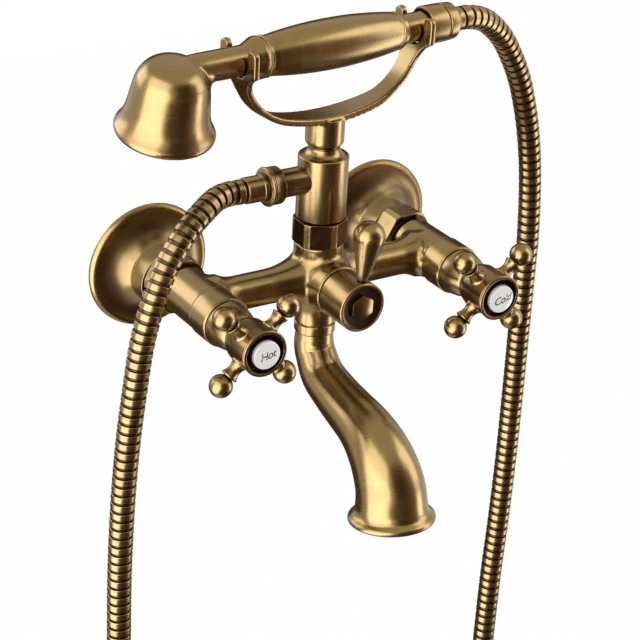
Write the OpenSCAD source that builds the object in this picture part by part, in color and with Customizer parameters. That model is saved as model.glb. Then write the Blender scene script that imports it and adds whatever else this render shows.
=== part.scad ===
// Wall-mounted bath mixer with a hand shower: two cross-handle valves on a crossbar, a lever
// diverter, a swivelling bath spout, and a riser whose cradle carries the hand shower.
// Millimetres. The wall is the plane y = 0, the front is -Y and +Z is up. The origin lies
// midway between the two wall inlets.

/* [Wall connection] */
// Distance between the two wall inlets
inlet_pitch = 150; // [140:1:160]
// Height of the valve axes over the wall inlets
eccentric_offset = 6; // [2:0.5:8]
// Diameter of the thread that goes into the wall
wall_thread_d = 20.955; // [20.5:0.005:21.2]
// Length of the thread that goes into the wall
wall_thread_len = 16; // [12:0.5:20]
// Diameter of the thread that carries the union nut
union_thread_d = 26.44; // [26:0.02:27]
// Reach of the wall union from the wall
union_len = 34; // [32:0.5:40]
// Waterway of the wall union
union_bore_d = 15; // [12:0.5:16]
// Diameter of the wall rosette
rosette_d = 73.4; // [66:0.2:80]
// Height at which the rosette's trumpet meets its collar
rosette_rise = 13; // [11:0.5:16]
// Diameter of the rosette's collar
rosette_collar_d = 34; // [34:0.2:37]
// Sheet thickness of the rosette
rosette_wall = 1.6; // [1.2:0.1:2]
// Radius of the rosette's rolled edge
rosette_edge_r = 3.5; // [2.5:0.1:4]
// Drop of the rosette, which hangs loose on its union
rosette_drop = 2.7; // [0:0.1:2.8]
// Width across flats of the union nut
union_nut_af = 30; // [29.6:0.1:32]
// Length of the union nut
union_nut_len = 14.5; // [12:0.5:16]
// Thickness of every flat washer
washer_t = 1.5; // [1:0.1:2]

/* [Body] */
// Diameter of the crossbar
crossbar_d = 19.6; // [18:0.2:22]
// Diameter of each valve barrel
valve_d = 27.2; // [26:0.2:29]
// Length of the valve barrel behind the crossbar axis
valve_back_len = 16.5; // [15:0.5:20]
// Length of the valve barrel in front of the crossbar axis
valve_front_len = 14; // [14:0.5:18]
// Diameter of the middle of the crossbar
hub_d = 34; // [32:0.5:34]
// Diameter of the ball at the middle of the body
hub_ball_d = 38; // [38:0.2:40]
// Diameter of the boss under the riser
riser_boss_d = 28; // [27:0.5:30]
// Diameter of the boss behind the diverter
diverter_boss_d = 29.6; // [28.4:0.2:32]
// Diameter of the boss over the spout
spout_boss_d = 23.2; // [22:0.2:25]
// Length of the boss over the spout, from the crossbar axis
spout_boss_len = 27; // [26:0.5:32]
// Diameter of the body's waterways
waterway_d = 10; // [8:0.5:11]

/* [Valves] */
// Diameter of the valve chamber
chamber_d = 20.4; // [19.4:0.2:21]
// Diameter of the ceramic discs
disc_d = 14; // [13:0.2:14.4]
// Thickness of each ceramic disc
disc_t = 3; // [2.5:0.1:3.4]
// Diameter of the spindle
spindle_d = 8; // [7:0.1:8.4]
// Diameter of the bonnet's ring
bonnet_d = 28.4; // [27.4:0.2:30]
// Length of the bonnet's ring
bonnet_ring_len = 16; // [14:0.5:18]
// Length of the bonnet's domed nose
bonnet_nose_len = 15; // [14:0.5:17]
// Diameter of the bonnet at its front end
bonnet_nose_d = 19.6; // [19:0.2:22]

/* [Cross handles] */
// Diameter of the handle's hub
handle_hub_d = 25.2; // [24.6:0.2:28]
// Length of the handle's hub
handle_hub_len = 22.7; // [22:0.1:26]
// Gap between the bonnet and the hub
handle_gap = 2.3; // [1:0.1:3]
// Diameter of the white index disc
index_disc_d = 17.1; // [15:0.1:18]
// Distance from the spindle axis to the middle of each ball
ball_reach = 27.3; // [26:0.1:30]
// Diameter of the balls on the handle's arms
ball_d = 12.8; // [11:0.2:13.4]
// Diameter of the arms at the collar beside each ball
arm_d = 9.2; // [8:0.2:10]
// Turn of the hot handle from an upright cross, closed
hot_handle_angle = 1; // [-10:1:10]
// Turn of the cold handle from an upright cross, closed
cold_handle_angle = 4; // [-10:1:10]

/* [Diverter] */
// Diameter of the diverter's chamber in the body
diverter_bore_d = 18; // [16.4:0.2:18.4]
// Diameter of the turning sleeve
sleeve_d = 28.4; // [27.4:0.2:30]
// Length of the turning sleeve
sleeve_len = 21.5; // [20:0.5:26]
// Diameter of the diverter's stem
stem_d = 10; // [9:0.2:11]
// Width across flats of the hexagon on the end cap
cap_hex_af = 13; // [11:0.2:15]
// Diameter of the lever's rounded end
lever_head_d = 17.6; // [16:0.2:20]
// Diameter of the lever at its foot
lever_foot_d = 5.6; // [5:0.1:7]
// Distance from the diverter's axis to the middle of the lever's rounded end
lever_reach = 39.8; // [36:0.1:46]
// Lean of the lever from upright, clockwise seen from the front
lever_lean = 7; // [0:1:15]

/* [Bath spout] */
// Length of the ring nut that holds the spout
ring_nut_len = 6; // [5.6:0.1:8]
// Diameter of the body's spigot inside the spout
spigot_d = 14; // [13:0.2:14.2]
// Length of the body's spigot inside the spout
spigot_len = 9.5; // [8.5:0.5:10]
// Turn of the spout about its own axis, at rest
spout_swing = 1.6; // [-5:0.1:5]
// Wall of the spout
spout_wall = 2.4; // [2:0.1:2.6]
// Diameter of the spout's outlet insert
outlet_d = 36.4; // [36:0.1:37]

/* [Riser] */
// Width across flats of the riser nut
riser_nut_af = 28; // [27.6:0.1:31]
// Length of the riser nut
riser_nut_len = 14.3; // [13:0.1:18]
// Diameter of the riser tube
riser_d = 28; // [26:0.2:30]
// Length of the riser tube, from the nut to its shoulder
riser_len = 36.4; // [34:0.2:60]
// Diameter of the cradle's pivot on top of the riser
pivot_d = 10; // [9:0.2:11]
// Length of the cradle's pivot
pivot_len = 11.2; // [10:0.2:12]

/* [Cradle] */
// Turn of the cradle about the riser, at rest
cradle_swing = 4; // [-5:1:8]
// Diameter of the cup that turns on the pivot
cradle_cup_d = 21.4; // [20:0.2:24]
// Width of the strap over the cup
strap_w = 18.6; // [16:0.2:20]
// Width of the strap at its narrowest
strap_waist_w = 12.2; // [11:0.2:14]
// Thickness of the strap
strap_t = 3.5; // [3:0.1:4.5]
// Distance from the riser to the outside of each fork
fork_reach = 59.5; // [58:0.5:61]
// Outside radius of the strap's corners
strap_corner_r = 39; // [36:0.5:42]
// Outside radius of the strap's sole
strap_sole_r = 131; // [110:1:160]
// Width over the two prongs of each fork
fork_w = 32.8; // [30:0.2:35]
// Width of the notch that the hand shower rests in
notch_d = 18; // [17.2:0.1:19]
// Height from the strap's underside to the hand shower's axis
cradle_height = 42.5; // [41:0.5:45]

/* [Hand shower] */
// Distance from the riser to the middle of the bell
bell_reach = 97.7; // [94:0.1:105]
// Turn of the hand shower about its own axis, its mouth towards the wall
handset_roll = 13; // [0:1:16]
// Diameter of the bell under its crown
bell_top_d = 40.6; // [39.6:0.2:43]
// Diameter of the bell's waist
bell_waist_d = 44.6; // [43.2:0.2:46]
// Diameter of the bell's lip
bell_lip_d = 53.6; // [52:0.2:56]
// Height of the bell, from its lip to its crown
bell_h = 44; // [42:0.1:48]
// Wall of the bell
bell_wall = 2; // [1.6:0.1:2.4]
// Diameter of the hand shower's neck and tail
neck_d = 16.4; // [15.4:0.1:16.6]
// Greatest diameter of the grip
grip_d = 27.6; // [24:0.2:30]
// Diameter of the grip at its ends
grip_end_d = 21.2; // [20:0.2:23]
// Bore of the grip
grip_bore_d = 14; // [12:0.2:14.4]

/* [Shower hose] */
// Diameter of the hose over its ribs
hose_d = 13.6; // [13:0.2:15]
// Bore of the hose
hose_bore_d = 8; // [6:0.5:9]
// Depth of the grooves between the ribs
rib_depth = 0.8; // [0.4:0.1:1]
// Distance between the ribs
rib_pitch = 8; // [7.6:0.2:12]
// Diameter of the nut at the foot of the hose
lower_nut_d = 21; // [20.8:0.2:23]
// Diameter of the nut at the top of the hose
upper_nut_d = 21.6; // [21:0.2:23]
// Diameter of the thread that the lower hose nut screws on
hose_thread_d = 18.6; // [18:0.1:18.8]

/* [Hidden] */
$fn = 64;

// Clearances
running_clear = 0.05;
thread_clear = 0.05;
lip_clear = 0.3;
joint_gap = 0.3;
overlap = 1;

// Colours of the metals, the ceramics and the rubber
brass = [0.66, 0.50, 0.27];
brown = [0.40, 0.28, 0.15];
dark_brass = [0.52, 0.38, 0.20];
porcelain = [0.93, 0.91, 0.86];
ceramic = [0.85, 0.85, 0.82];
rubber = [0.10, 0.10, 0.10];

// Stations along a valve axis, as distances from the wall
axis_z = eccentric_offset;
tail_flange_t = 1.8;
nut_lip_t = 3.2;
neck_gap = 3;
rosette_gap = 0.6;
flange_s = union_len + washer_t;
nut_front_s = flange_s + tail_flange_t + nut_lip_t;
nut_back_s = nut_front_s - union_nut_len;
valve_back_s = nut_front_s + neck_gap;
body_reach = valve_back_s + valve_back_len;
valve_front_s = body_reach + valve_front_len;
inlet_wall_t = 9;
seat_s = valve_back_s + inlet_wall_t;
valve_spigot_len = 6;
spigot_front_s = valve_front_s + valve_spigot_len;
dome_step = 1.2;
bonnet_step_s = valve_front_s + bonnet_ring_len;
bonnet_front_s = bonnet_step_s + bonnet_nose_len;
hub_back_s = bonnet_front_s + handle_gap;
hub_front_s = hub_back_s + handle_hub_len;

// Wall union and body tails
shoulder_d = 24;
shoulder_len = 8;
thread_start = 2;
eccentric_web = 4;
flange_play = 0.4;
tail_flange_d = union_thread_d - flange_play;
tail_neck_d = 21.8;
inlet_bore_d = 12;
nut_corner_cut = 1;
nut_end_bevel = 0.9;
nut_end_step = 0.2;

// Body fillets
hub_flare_r = 47;
hub_half = 8;
tee_step = 0.8;
tee_d = valve_d - tee_step;
tee_half = 10.8;
tee_flare_r = 20;
diverter_flare_r = 12;
diverter_flare_rise = 1.8;
diverter_flare_back = 10;
spout_flare_r = 25;
spout_flare_rise = 4.3;
spout_flare_top = 10;
diverter_boss_len = 24.5;
riser_boss_len = 21.4;
riser_thread_d = 24.6;
riser_thread_len = 5;
port_d = 7.6;
port_offset = 6.5;

// Ceramic cartridge
seal_t = 1.5;
cartridge_play = 0.2;
cartridge_d = chamber_d - cartridge_play;
cartridge_back_s = seat_s + seal_t;
cartridge_flange_t = 5;
cartridge_flange_d = 23;
cartridge_nose_d = 16;
cartridge_nose_len = 13;
spigot_wall_d = 24.2;
cartridge_lip_t = 0.5;
disc_s = cartridge_back_s + cartridge_lip_t;
drive_s = disc_s + 2 * disc_t + 2 * running_clear;
drive_t = 2.5;
drive_room = 4;
cartridge_bore_end_s = drive_s + drive_t + drive_room;
disc_port_r = 4;
disc_port_d = 3.6;
window_d = 3.4;

// Handle pieces
hub_back_taper = 3.7;
hub_taper = 2.4;
hub_back_d = handle_hub_d - hub_taper;
hub_bead_d = 1.6;
hub_rim = 3.2;
recess_d = handle_hub_d - hub_rim;
recess_depth = 6;
index_overhang = 0.7;
index_boss_d = index_disc_d - index_overhang;
index_tenon = 0.8;
hub_bead_sink = 0.3;
recess_draft = 0.2;
index_disc_t = 3;
index_crown = 0.5;
spline_step = 0.8;
spline_d = spindle_d - spline_step;
counterbore_d = 8.4;
counterbore_depth = 4;
screw_d = 4;
screw_head_d = 7;
screw_head_t = 3;
screw_len = 10;
arm_from_back = 11.5;
arm_s = hub_back_s + arm_from_back;
arm_spigot_d = 4;
arm_spigot_len = 3.2;
arm_waist_cut = 2.2;
arm_waist_d = arm_d - arm_waist_cut;
ball_sink = 0.4;
ball_root = 0.5;
arm_collar_t = 1.2;
ball_neck_d = 5;
hub_floor_s = hub_front_s - recess_depth;
index_proud = 2.2;
disc_seat_s = hub_front_s + index_proud - index_disc_t;
screw_seat_t = 2.7;
spline_end_s = disc_seat_s - counterbore_depth - screw_seat_t;

// Diverter, in distances from the wall
diverter_front_s = body_reach + diverter_boss_len;
gland_d = 22;
gland_t = 8.5;
diverter_depth = 12;
diverter_back_s = body_reach - diverter_depth;
rotor_d = diverter_bore_d - 2 * running_clear;
rotor_gap = 0.5;
rotor_back_s = body_reach + rotor_gap;
rotor_front_s = diverter_front_s - gland_t - joint_gap;
rotor_hollow_d = 11;
rotor_port_d = 7.2;
o_ring_d = 1.8;
rotor_ring_back = 2.6;
rotor_ring_s = rotor_front_s - rotor_ring_back;
stem_ring_s = diverter_front_s - gland_t / 2;
sleeve_gap = 0.5;
sleeve_back_s = diverter_front_s + sleeve_gap;
sleeve_front_s = sleeve_back_s + sleeve_len;
cap_t = 2;
cap_inset = 0.5;
cap_step = 3.2;
cap_d = sleeve_d - cap_step;
cap_hex_h = 2.2;
cap_screw_d = 5;
cap_screw_len = 8;
stem_end_s = sleeve_front_s - cap_inset - cap_t - joint_gap;
lever_from_front = 5;
lever_s = sleeve_front_s - lever_from_front;
lever_stem_d = 4;
lever_stem_len = 5;
lever_gap = 0.1;
lever_foot = sleeve_d / 2 + lever_gap;

// Spout, in depths under the crossbar axis
spout_thread_step = 2.8;
spout_thread_d = spout_boss_d - spout_thread_step;
spout_thread_len = 3.5;
ring_nut_gap = 0.2;
ring_nut_z = spout_boss_len + ring_nut_gap;
ring_nut_lip = 1.3;
ring_nut_lip_z = ring_nut_z + ring_nut_len - ring_nut_lip;
spigot_z = spout_boss_len + spout_thread_len;
spigot_end_z = spigot_z + spigot_len;
spigot_bore_d = 8.4;
spout_flange_z = spigot_z + joint_gap;
spout_neck_step = 3.2;
spout_neck_d = spigot_d + spout_neck_step;
outlet_rows = 2;
outlet_round = 2.3;
spout_lip_turn = [-60 : 40 : 100];
spout_top_z = ring_nut_z + ring_nut_len + joint_gap;
spout_socket_d = 20.4;
outlet_inset = 3;
outlet_t = 4;
outlet_hole_d = 5;
outlet_hole_pitch = 6.6;

// Middle line of the spout under its top: [y from the spout's axis, depth, radius]
spout_line = [
    [0, 0, 10.6], [0, 3.2, 10.9], [0, 6.5, 11.2], [-3, 14.5, 11.6], [-11, 24, 12.4], [-25, 29.5, 13.2],
    [-40, 33.5, 14.2], [-52, 36.5, 15.2], [-63, 41.5, 16.6], [-73.5, 50, 18.2],
    [-81, 61.5, 19.4], [-83.5, 75, 20.2]];
spout_sides = 24;
spout_steps = 2;
spout_rim_rise = 4.2;
spout_rim_h = 5;

// Riser, in heights over the crossbar axis
riser_nut_gap = 0.4;
riser_nut_z = riser_boss_len + riser_nut_gap;
riser_washer_z = riser_boss_len + riser_thread_len;
riser_flange_z = riser_washer_z + washer_t;
riser_flange_t = 2.5;
riser_flange_d = 24.4;
riser_tail_d = 20.8;
riser_gap = 0.5;
riser_base_z = riser_nut_z + riser_nut_len + riser_gap;
shoulder_step = 0.4;
riser_top_z = riser_base_z + riser_len;
shoulder_h = 5.3;
shoulder_top_d = 16.4;
riser_bore_d = 12;
pivot_base_z = riser_top_z + shoulder_h;
pivot_groove_cut = 2.2;
pivot_groove_d = pivot_d - pivot_groove_cut;
pivot_groove_w = 3;
cup_z = pivot_base_z + joint_gap;
cup_h = 15;
cup_bevel = 1.9;
groove_height = 6.4;
groove_z = cup_z + groove_height;
cup_draft = 0.4;
grub_sink = 0.5;
grub_tip_cut = 0.8;
grub_d = 3.2;

// Hose connection on the riser
outlet_drop = 13;
outlet_z = riser_top_z - outlet_drop;
nipple_root = 5;
lower_bead_sink = 0.6;
lower_bead_r = 1;
route_steps = 8;
nipple_spigot_d = 12;
nipple_neck_d = 15.6;
nipple_neck_end = 29;
nipple_end = 32.5;
nipple_bore_d = 9;
lower_nut_back = 28.3;
lower_nut_front = 37.2;
lower_bead = 36;
ferrule_flange_t = 1.3;
ferrule_d = 14.6;
hose_start_x = 50;

// Cradle outline, in heights over the crossbar axis
strap_z = cup_z + cup_h;
handset_z = strap_z + cradle_height;
prong_w = (fork_w - notch_d) / 2;
prong_rise = 5.1;
prong_top_z = handset_z + prong_rise;
notch_z = handset_z - neck_d / 2 - joint_gap + notch_d / 2;
fork_flare_r = 15;
fork_flare_drop = 20;
fork_flare_z = handset_z - fork_flare_drop;
waist_rise = 9;
waist_z = strap_z + waist_rise;
corner_x = fork_reach - strap_corner_r;
sole_z = strap_z + strap_sole_r;
corner_z = sole_z - sqrt(pow(strap_sole_r - strap_corner_r, 2) - corner_x * corner_x);

// Hand shower, in distances along its axis from the riser
bell_lift = 1.2;
bell_crown_r = 16;
bell_crown_z = 6.4;
bell_lip_r = 4;
bell_flare_r = 8;
bell_flare_h = 10.6;
bell_edge = 1.2;
lip_z = bell_crown_z - bell_h + bell_lip_r;
neck_root = 10;
mouth_step = 13.8;
mouth_d = bell_lip_d - mouth_step;
collar_bead_bite = 0.8;
ring_bite = 0.01;
ferrule_step = 0.1;
plate_inset = 3;
plate_t = 3;
spray_hole_d = 2;
spray_rows = [[6, 4.2], [12, 8.4], [18, 12.6], [24, 16.4]];
neck_end = 50;
collar_w = 7.5;
collar_d = 23.4;
collar_bead_r = 3;
head_thread_len = 19.5;
grip_start = -neck_end + collar_w;
grip_end = 43;
end_ring_d = [21.2, 18.8];
end_ring_w = [2, 2.5];
tail_start = grip_end + end_ring_w[0] + end_ring_w[1];
tail_thread_len = 12;
upper_nut_start = 63;
upper_nut_end = 75;
tail_end = 69;
tail_thread_start = 65;
upper_thread_d = 18.6;
hand_bore_d = 9;
upper_flange_t = 1.8;
ferrule_collar_len = 7;
ferrule_neck_d = 18.8;
hose_start_u = 85;

// Route of the hose: from the nipple down to the lowest point and up to a joint in the right
// leg, and from there to the hand shower, in the frame of the whole mixer
hose_joint = [167, -36, -45];
lower_route = [
    [-55, -60, 66], [-60, -60, 66], [-68, -62, 65.3], [-77, -66, 62.2], [-88, -70, 56], [-96.5, -73, 48.3],
    [-105, -75, 37], [-111.5, -77, 24], [-116, -78, 12], [-120, -78, -5], [-124, -78, -34],
    [-127, -78, -60], [-129.5, -78, -95], [-131, -78, -140], [-131, -78, -190], [-131, -77, -245],
    [-131, -76, -300], [-129, -75, -351], [-119, -73, -404], [-89, -70, -452], [-43, -66, -483],
    [12, -61, -494], [67, -56, -483], [113, -52, -452], [144, -49, -404], [154, -46, -351],
    [156, -44, -297], [158.5, -42, -250], [162, -40, -210], [165, -38, -165], [167, -36, -115],
    [167, -36, -80]];
upper_route = [
    [167, -36, -30], [167, -36, -15], [165.5, -36, 12], [163, -36, 36], [158, -37, 59.5], [152, -38, 79.5],
    [145, -40, 95.5], [136, -42.5, 110.5], [126, -45.5, 123.5], [115, -48.5, 133.4], [104.5, -51.5, 139.4]];
hose_sides = 8;
hose_run = 9;
bore_step = 2;

// Points of a smooth curve through the points of a route
function curve_point(p, i, t) =
    let (a = p[max(i - 1, 0)], b = p[i], c = p[i + 1], d = p[min(i + 2, len(p) - 1)])
    0.5 * (2 * b + (c - a) * t + (2 * a - 5 * b + 4 * c - d) * t * t
        + (3 * b - a - 3 * c + d) * t * t * t);
function curve(p, steps) = concat(
    [for (i = [0 : len(p) - 2], j = [0 : steps - 1]) curve_point(p, i, j / steps)],
    [p[len(p) - 1]]);

// Running length at each point of a line, and the point at a given length
function run(p) = [for (i = 0, s = 0; i < len(p);
    s = s + (i + 1 < len(p) ? norm(p[i + 1] - p[i]) : 0), i = i + 1) s];
function along(p, lengths, s) =
    [for (k = [0 : 2]) lookup(s, [for (i = [0 : len(p) - 1]) [lengths[i], p[i][k]]])];

function unit(v) = v / norm(v);
function heading(p, i) = unit(p[min(i + 1, len(p) - 1)] - p[max(i - 1, 0)]);

// Corners of one ring: centre, direction of travel, radius, a line across the ring and sides
function ring_points(c, t, r, across, sides) =
    let (u = unit(cross(t, across)), v = cross(t, u))
    [for (k = [0 : sides - 1]) c + r * (cos(360 * k / sides) * u + sin(360 * k / sides) * v)];

// A closed skin over rings that run out along the outside and back along the bore
module ring_loop(rings) {
    n = len(rings);
    sides = len(rings[0]);
    points = [for (ring = rings, p = ring) p];
    function at(i, k) = (i % n) * sides + k % sides;
    faces = [for (i = [0 : n - 1], k = [0 : sides - 1], half = [0, 1])
        half == 0 ? [at(i, k), at(i + 1, k), at(i + 1, k + 1)]
                  : [at(i, k), at(i + 1, k + 1), at(i, k + 1)]];
    polyhedron(points, faces);
}

// Places: along a valve or diverter axis local z is the distance from the wall and local y is up
module on_valve(side) {
    translate([side * inlet_pitch / 2, 0, axis_z]) rotate([90, 0, 0]) children();
}

module on_diverter() {
    translate([0, 0, axis_z]) rotate([90, 0, 0]) children();
}

module on_centre() {
    translate([0, -body_reach, axis_z]) children();
}

module on_spout() {
    on_centre() rotate([0, 0, spout_swing]) children();
}

module on_hose_outlet() {
    on_centre() translate([0, 0, outlet_z]) rotate([0, -90, 0]) children();
}

module on_cradle() {
    on_centre() rotate([0, 0, cradle_swing]) children();
}

module on_handset() {
    on_cradle() translate([0, 0, handset_z]) rotate([0, 90, 0]) children();
}

// Shapes that repeat
module ring(d_out, d_in, h) {
    rotate_extrude() translate([d_in / 2, 0]) square([(d_out - d_in) / 2, h]);
}

module bored(d_out, d_in, z0, z1) {
    translate([0, 0, z0]) ring(d_out, d_in, z1 - z0);
}

module rod(d, z0, z1) {
    translate([0, 0, z0]) cylinder(d = d, h = z1 - z0);
}

module o_ring(d_in) {
    rotate_extrude() translate([(d_in + o_ring_d) / 2, 0]) circle(d = o_ring_d);
}

// A hexagon nut blank with flat strips along its edges and bevelled ends
module hex_blank(af, h) {
    corner_r = af / 2 / cos(30);
    strip_r = corner_r - nut_corner_cut;
    end_r = af / 2 + nut_end_step;
    intersection() {
        translate([0, 0, -overlap]) cylinder(r = corner_r, h = h + 2 * overlap, $fn = 6);
        rotate([0, 0, 30]) translate([0, 0, -overlap])
            cylinder(r = strip_r / cos(30), h = h + 2 * overlap, $fn = 6);
        rotate_extrude() polygon([
            [0, 0], [end_r, 0], [corner_r, nut_end_bevel],
            [corner_r, h - nut_end_bevel], [end_r, h], [0, h]]);
    }
}

// Outline of a stem that widens along an arc: from d1 at its foot to d0 at its end
function flare_len(d0, d1, r) = sqrt(r * r - pow(r - (d1 - d0) / 2, 2));
module flare_outline(d0, d1, r) {
    h = flare_len(d0, d1, r);
    difference() {
        translate([0, -overlap]) square([d1 / 2, h + overlap]);
        translate([d0 / 2 + r, h]) circle(r);
    }
}

// Wall unions, rosettes and union nuts
module wall_union(side) {
    color(dark_brass) on_valve(side) difference() {
        union() {
            translate([0, -eccentric_offset, 0]) rod(wall_thread_d, -wall_thread_len, overlap);
            translate([0, -eccentric_offset, 0]) rod(shoulder_d, 0, shoulder_len);
            rod(union_thread_d, thread_start, union_len);
        }
        translate([0, -eccentric_offset, 0])
            rod(union_bore_d, -wall_thread_len - overlap, shoulder_len - rosette_wall);
        rod(union_bore_d, eccentric_web, union_len + overlap);
    }
}

module rosette_outline(inset) {
    r = rosette_d / 2 - rosette_edge_r;
    edge = rosette_edge_r - inset;
    climb = rosette_rise - rosette_edge_r;
    span = r - rosette_collar_d / 2;
    sweep_r = (span * span + climb * climb) / (2 * climb);
    square([r, edge]);
    translate([r, 0]) intersection() {
        circle(edge);
        translate([-overlap, 0]) square([edge + overlap, edge]);
    }
    difference() {
        square([r, rosette_rise]);
        translate([r, rosette_edge_r + sweep_r]) circle(sweep_r + inset);
    }
}

module wall_rosette(side) {
    collar_end = nut_back_s - rosette_gap;
    color(brass) on_valve(side) translate([0, -rosette_drop, 0]) rotate_extrude() difference() {
        union() {
            rosette_outline(0);
            square([rosette_collar_d / 2, collar_end]);
        }
        translate([0, -overlap]) square([rosette_d / 2 - rosette_edge_r, overlap]);
        rosette_outline(rosette_wall);
        square([union_thread_d / 2 + rosette_drop + lip_clear, collar_end + overlap]);
    }
}

module union_nut(side) {
    color(brass) on_valve(side) translate([0, 0, nut_back_s]) difference() {
        hex_blank(union_nut_af, union_nut_len);
        rod(union_thread_d + 2 * thread_clear, -overlap, union_nut_len - nut_lip_t);
        rod(tail_neck_d + 2 * lip_clear, 0, union_nut_len + overlap);
    }
}

module inlet_washer(side) {
    color(rubber) on_valve(side) bored(tail_flange_d, union_bore_d + 1, union_len, flange_s);
}

// Body
module crossbar_outline() {
    translate([0, -inlet_pitch / 2]) square([crossbar_d / 2, inlet_pitch]);
    translate([0, -hub_half]) square([hub_d / 2, 2 * hub_half]);
    for (way = [0, 1]) mirror([0, way]) {
        translate([0, hub_half]) flare_outline(crossbar_d, hub_d, hub_flare_r);
        translate([0, inlet_pitch / 2 - tee_half]) mirror([0, 1])
            flare_outline(crossbar_d, tee_d, tee_flare_r);
        translate([0, inlet_pitch / 2 - tee_half]) square([tee_d / 2, tee_half]);
    }
}

module body_outside() {
    for (side = [-1, 1]) on_valve(side) {
        rod(tail_flange_d, flange_s, flange_s + tail_flange_t);
        rod(tail_neck_d, flange_s, valve_back_s + overlap);
        rod(valve_d, valve_back_s, valve_front_s);
        rod(spigot_wall_d, valve_front_s - overlap, spigot_front_s);
    }
    on_centre() {
        rotate([0, 90, 0]) rotate_extrude() crossbar_outline();
        sphere(d = hub_ball_d);
        rod(riser_boss_d, 0, riser_boss_len);
        rod(riser_thread_d, 0, riser_boss_len + riser_thread_len);
        mirror([0, 0, 1]) {
            rod(spout_boss_d, 0, spout_boss_len);
            translate([0, 0, spout_flare_top]) rotate_extrude()
                flare_outline(spout_boss_d, spout_boss_d + 2 * spout_flare_rise, spout_flare_r);
            rod(spout_thread_d, spout_boss_len - overlap, spigot_z);
            rod(spigot_d, spout_boss_len, spigot_end_z);
        }
    }
    on_diverter() {
        rod(diverter_boss_d, body_reach, diverter_front_s);
        translate([0, 0, body_reach + diverter_flare_back]) rotate_extrude()
            flare_outline(diverter_boss_d, diverter_boss_d + 2 * diverter_flare_rise, diverter_flare_r);
    }
}

module spigot_grooves() {
    for (k = [1, 2]) ring_groove(spigot_d, spigot_z + spigot_len * k / 3);
}

module body_casting() {
    color(brass) difference() {
        body_outside();
        for (side = [-1, 1]) on_valve(side) {
            rod(inlet_bore_d, flange_s - overlap, seat_s + overlap);
            rod(chamber_d, seat_s, spigot_front_s + overlap);
        }
        on_centre() {
            rotate([0, 90, 0]) rod(waterway_d, -inlet_pitch / 2, inlet_pitch / 2);
            rod(riser_bore_d, port_offset + port_d, riser_boss_len + riser_thread_len + overlap);
            translate([0, -port_offset, 0]) rod(port_d, -spout_flare_top - port_offset, riser_boss_len - overlap);
            mirror([0, 0, 1]) {
                rod(spigot_bore_d, spout_flare_top + overlap, spigot_end_z + overlap);
                spigot_grooves();
            }
        }
        on_diverter() {
            rod(diverter_bore_d, diverter_back_s, diverter_front_s);
            rod(gland_d, diverter_front_s - gland_t, diverter_front_s + overlap);
        }
    }
}

// Ceramic valves
module seat_seal(side) {
    color(rubber) on_valve(side) bored(cartridge_d - 1, inlet_bore_d - 2, seat_s, cartridge_back_s);
}

module cartridge_body(side) {
    color(brass) on_valve(side) difference() {
        union() {
            rod(cartridge_d, cartridge_back_s, spigot_front_s + overlap);
            rod(cartridge_flange_d, spigot_front_s, spigot_front_s + cartridge_flange_t);
            rod(cartridge_nose_d, spigot_front_s,
                spigot_front_s + cartridge_flange_t + cartridge_nose_len);
        }
        rod(disc_d - 2, cartridge_back_s - overlap, disc_s + overlap);
        rod(disc_d + 2 * running_clear, disc_s, cartridge_bore_end_s);
        rod(spindle_d + 2 * running_clear, disc_s,
            spigot_front_s + cartridge_flange_t + cartridge_nose_len + overlap);
        translate([0, 0, drive_s + drive_t + window_d / 2]) rotate([0, 90, 0])
            rod(window_d, -cartridge_d, cartridge_d);
    }
}

module ceramic_disc(back_s) {
    difference() {
        rod(disc_d, back_s, back_s + disc_t);
        for (way = [-1, 1]) translate([0, way * disc_port_r, 0])
            rod(disc_port_d, back_s - overlap, back_s + disc_t + overlap);
    }
}

module fixed_disc(side) {
    color(ceramic) on_valve(side) ceramic_disc(disc_s);
}

module moving_disc(side) {
    color(ceramic) on_valve(side) rotate([0, 0, 90]) ceramic_disc(disc_s + disc_t + running_clear);
}

module spindle(side) {
    color(brass) on_valve(side) difference() {
        union() {
            rod(disc_d, drive_s, drive_s + drive_t);
            rod(spindle_d, drive_s, hub_back_s - joint_gap);
            rod(spline_d, drive_s, spline_end_s);
        }
        rod(screw_d + 2 * thread_clear, spline_end_s - screw_len, spline_end_s + overlap);
    }
}

module bonnet(side) {
    dome_r = (pow(bonnet_nose_len, 2) + pow((bonnet_d - 2 * dome_step - bonnet_nose_d) / 2, 2))
        / (bonnet_d - 2 * dome_step - bonnet_nose_d);
    dome_base_r = bonnet_d / 2 - dome_step;
    color(brass) on_valve(side) rotate_extrude() difference() {
        union() {
            translate([0, valve_front_s]) square([bonnet_d / 2, bonnet_ring_len]);
            translate([0, bonnet_step_s - overlap]) intersection() {
                square([dome_base_r, bonnet_nose_len + overlap]);
                translate([dome_base_r - dome_r, overlap]) circle(dome_r);
            }
        }
        translate([0, valve_front_s - overlap])
            square([spigot_wall_d / 2 + thread_clear,
                spigot_front_s + cartridge_flange_t - valve_front_s + overlap]);
        translate([0, valve_front_s])
            square([cartridge_nose_d / 2 + lip_clear, bonnet_front_s - valve_front_s + overlap]);
    }
}

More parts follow.
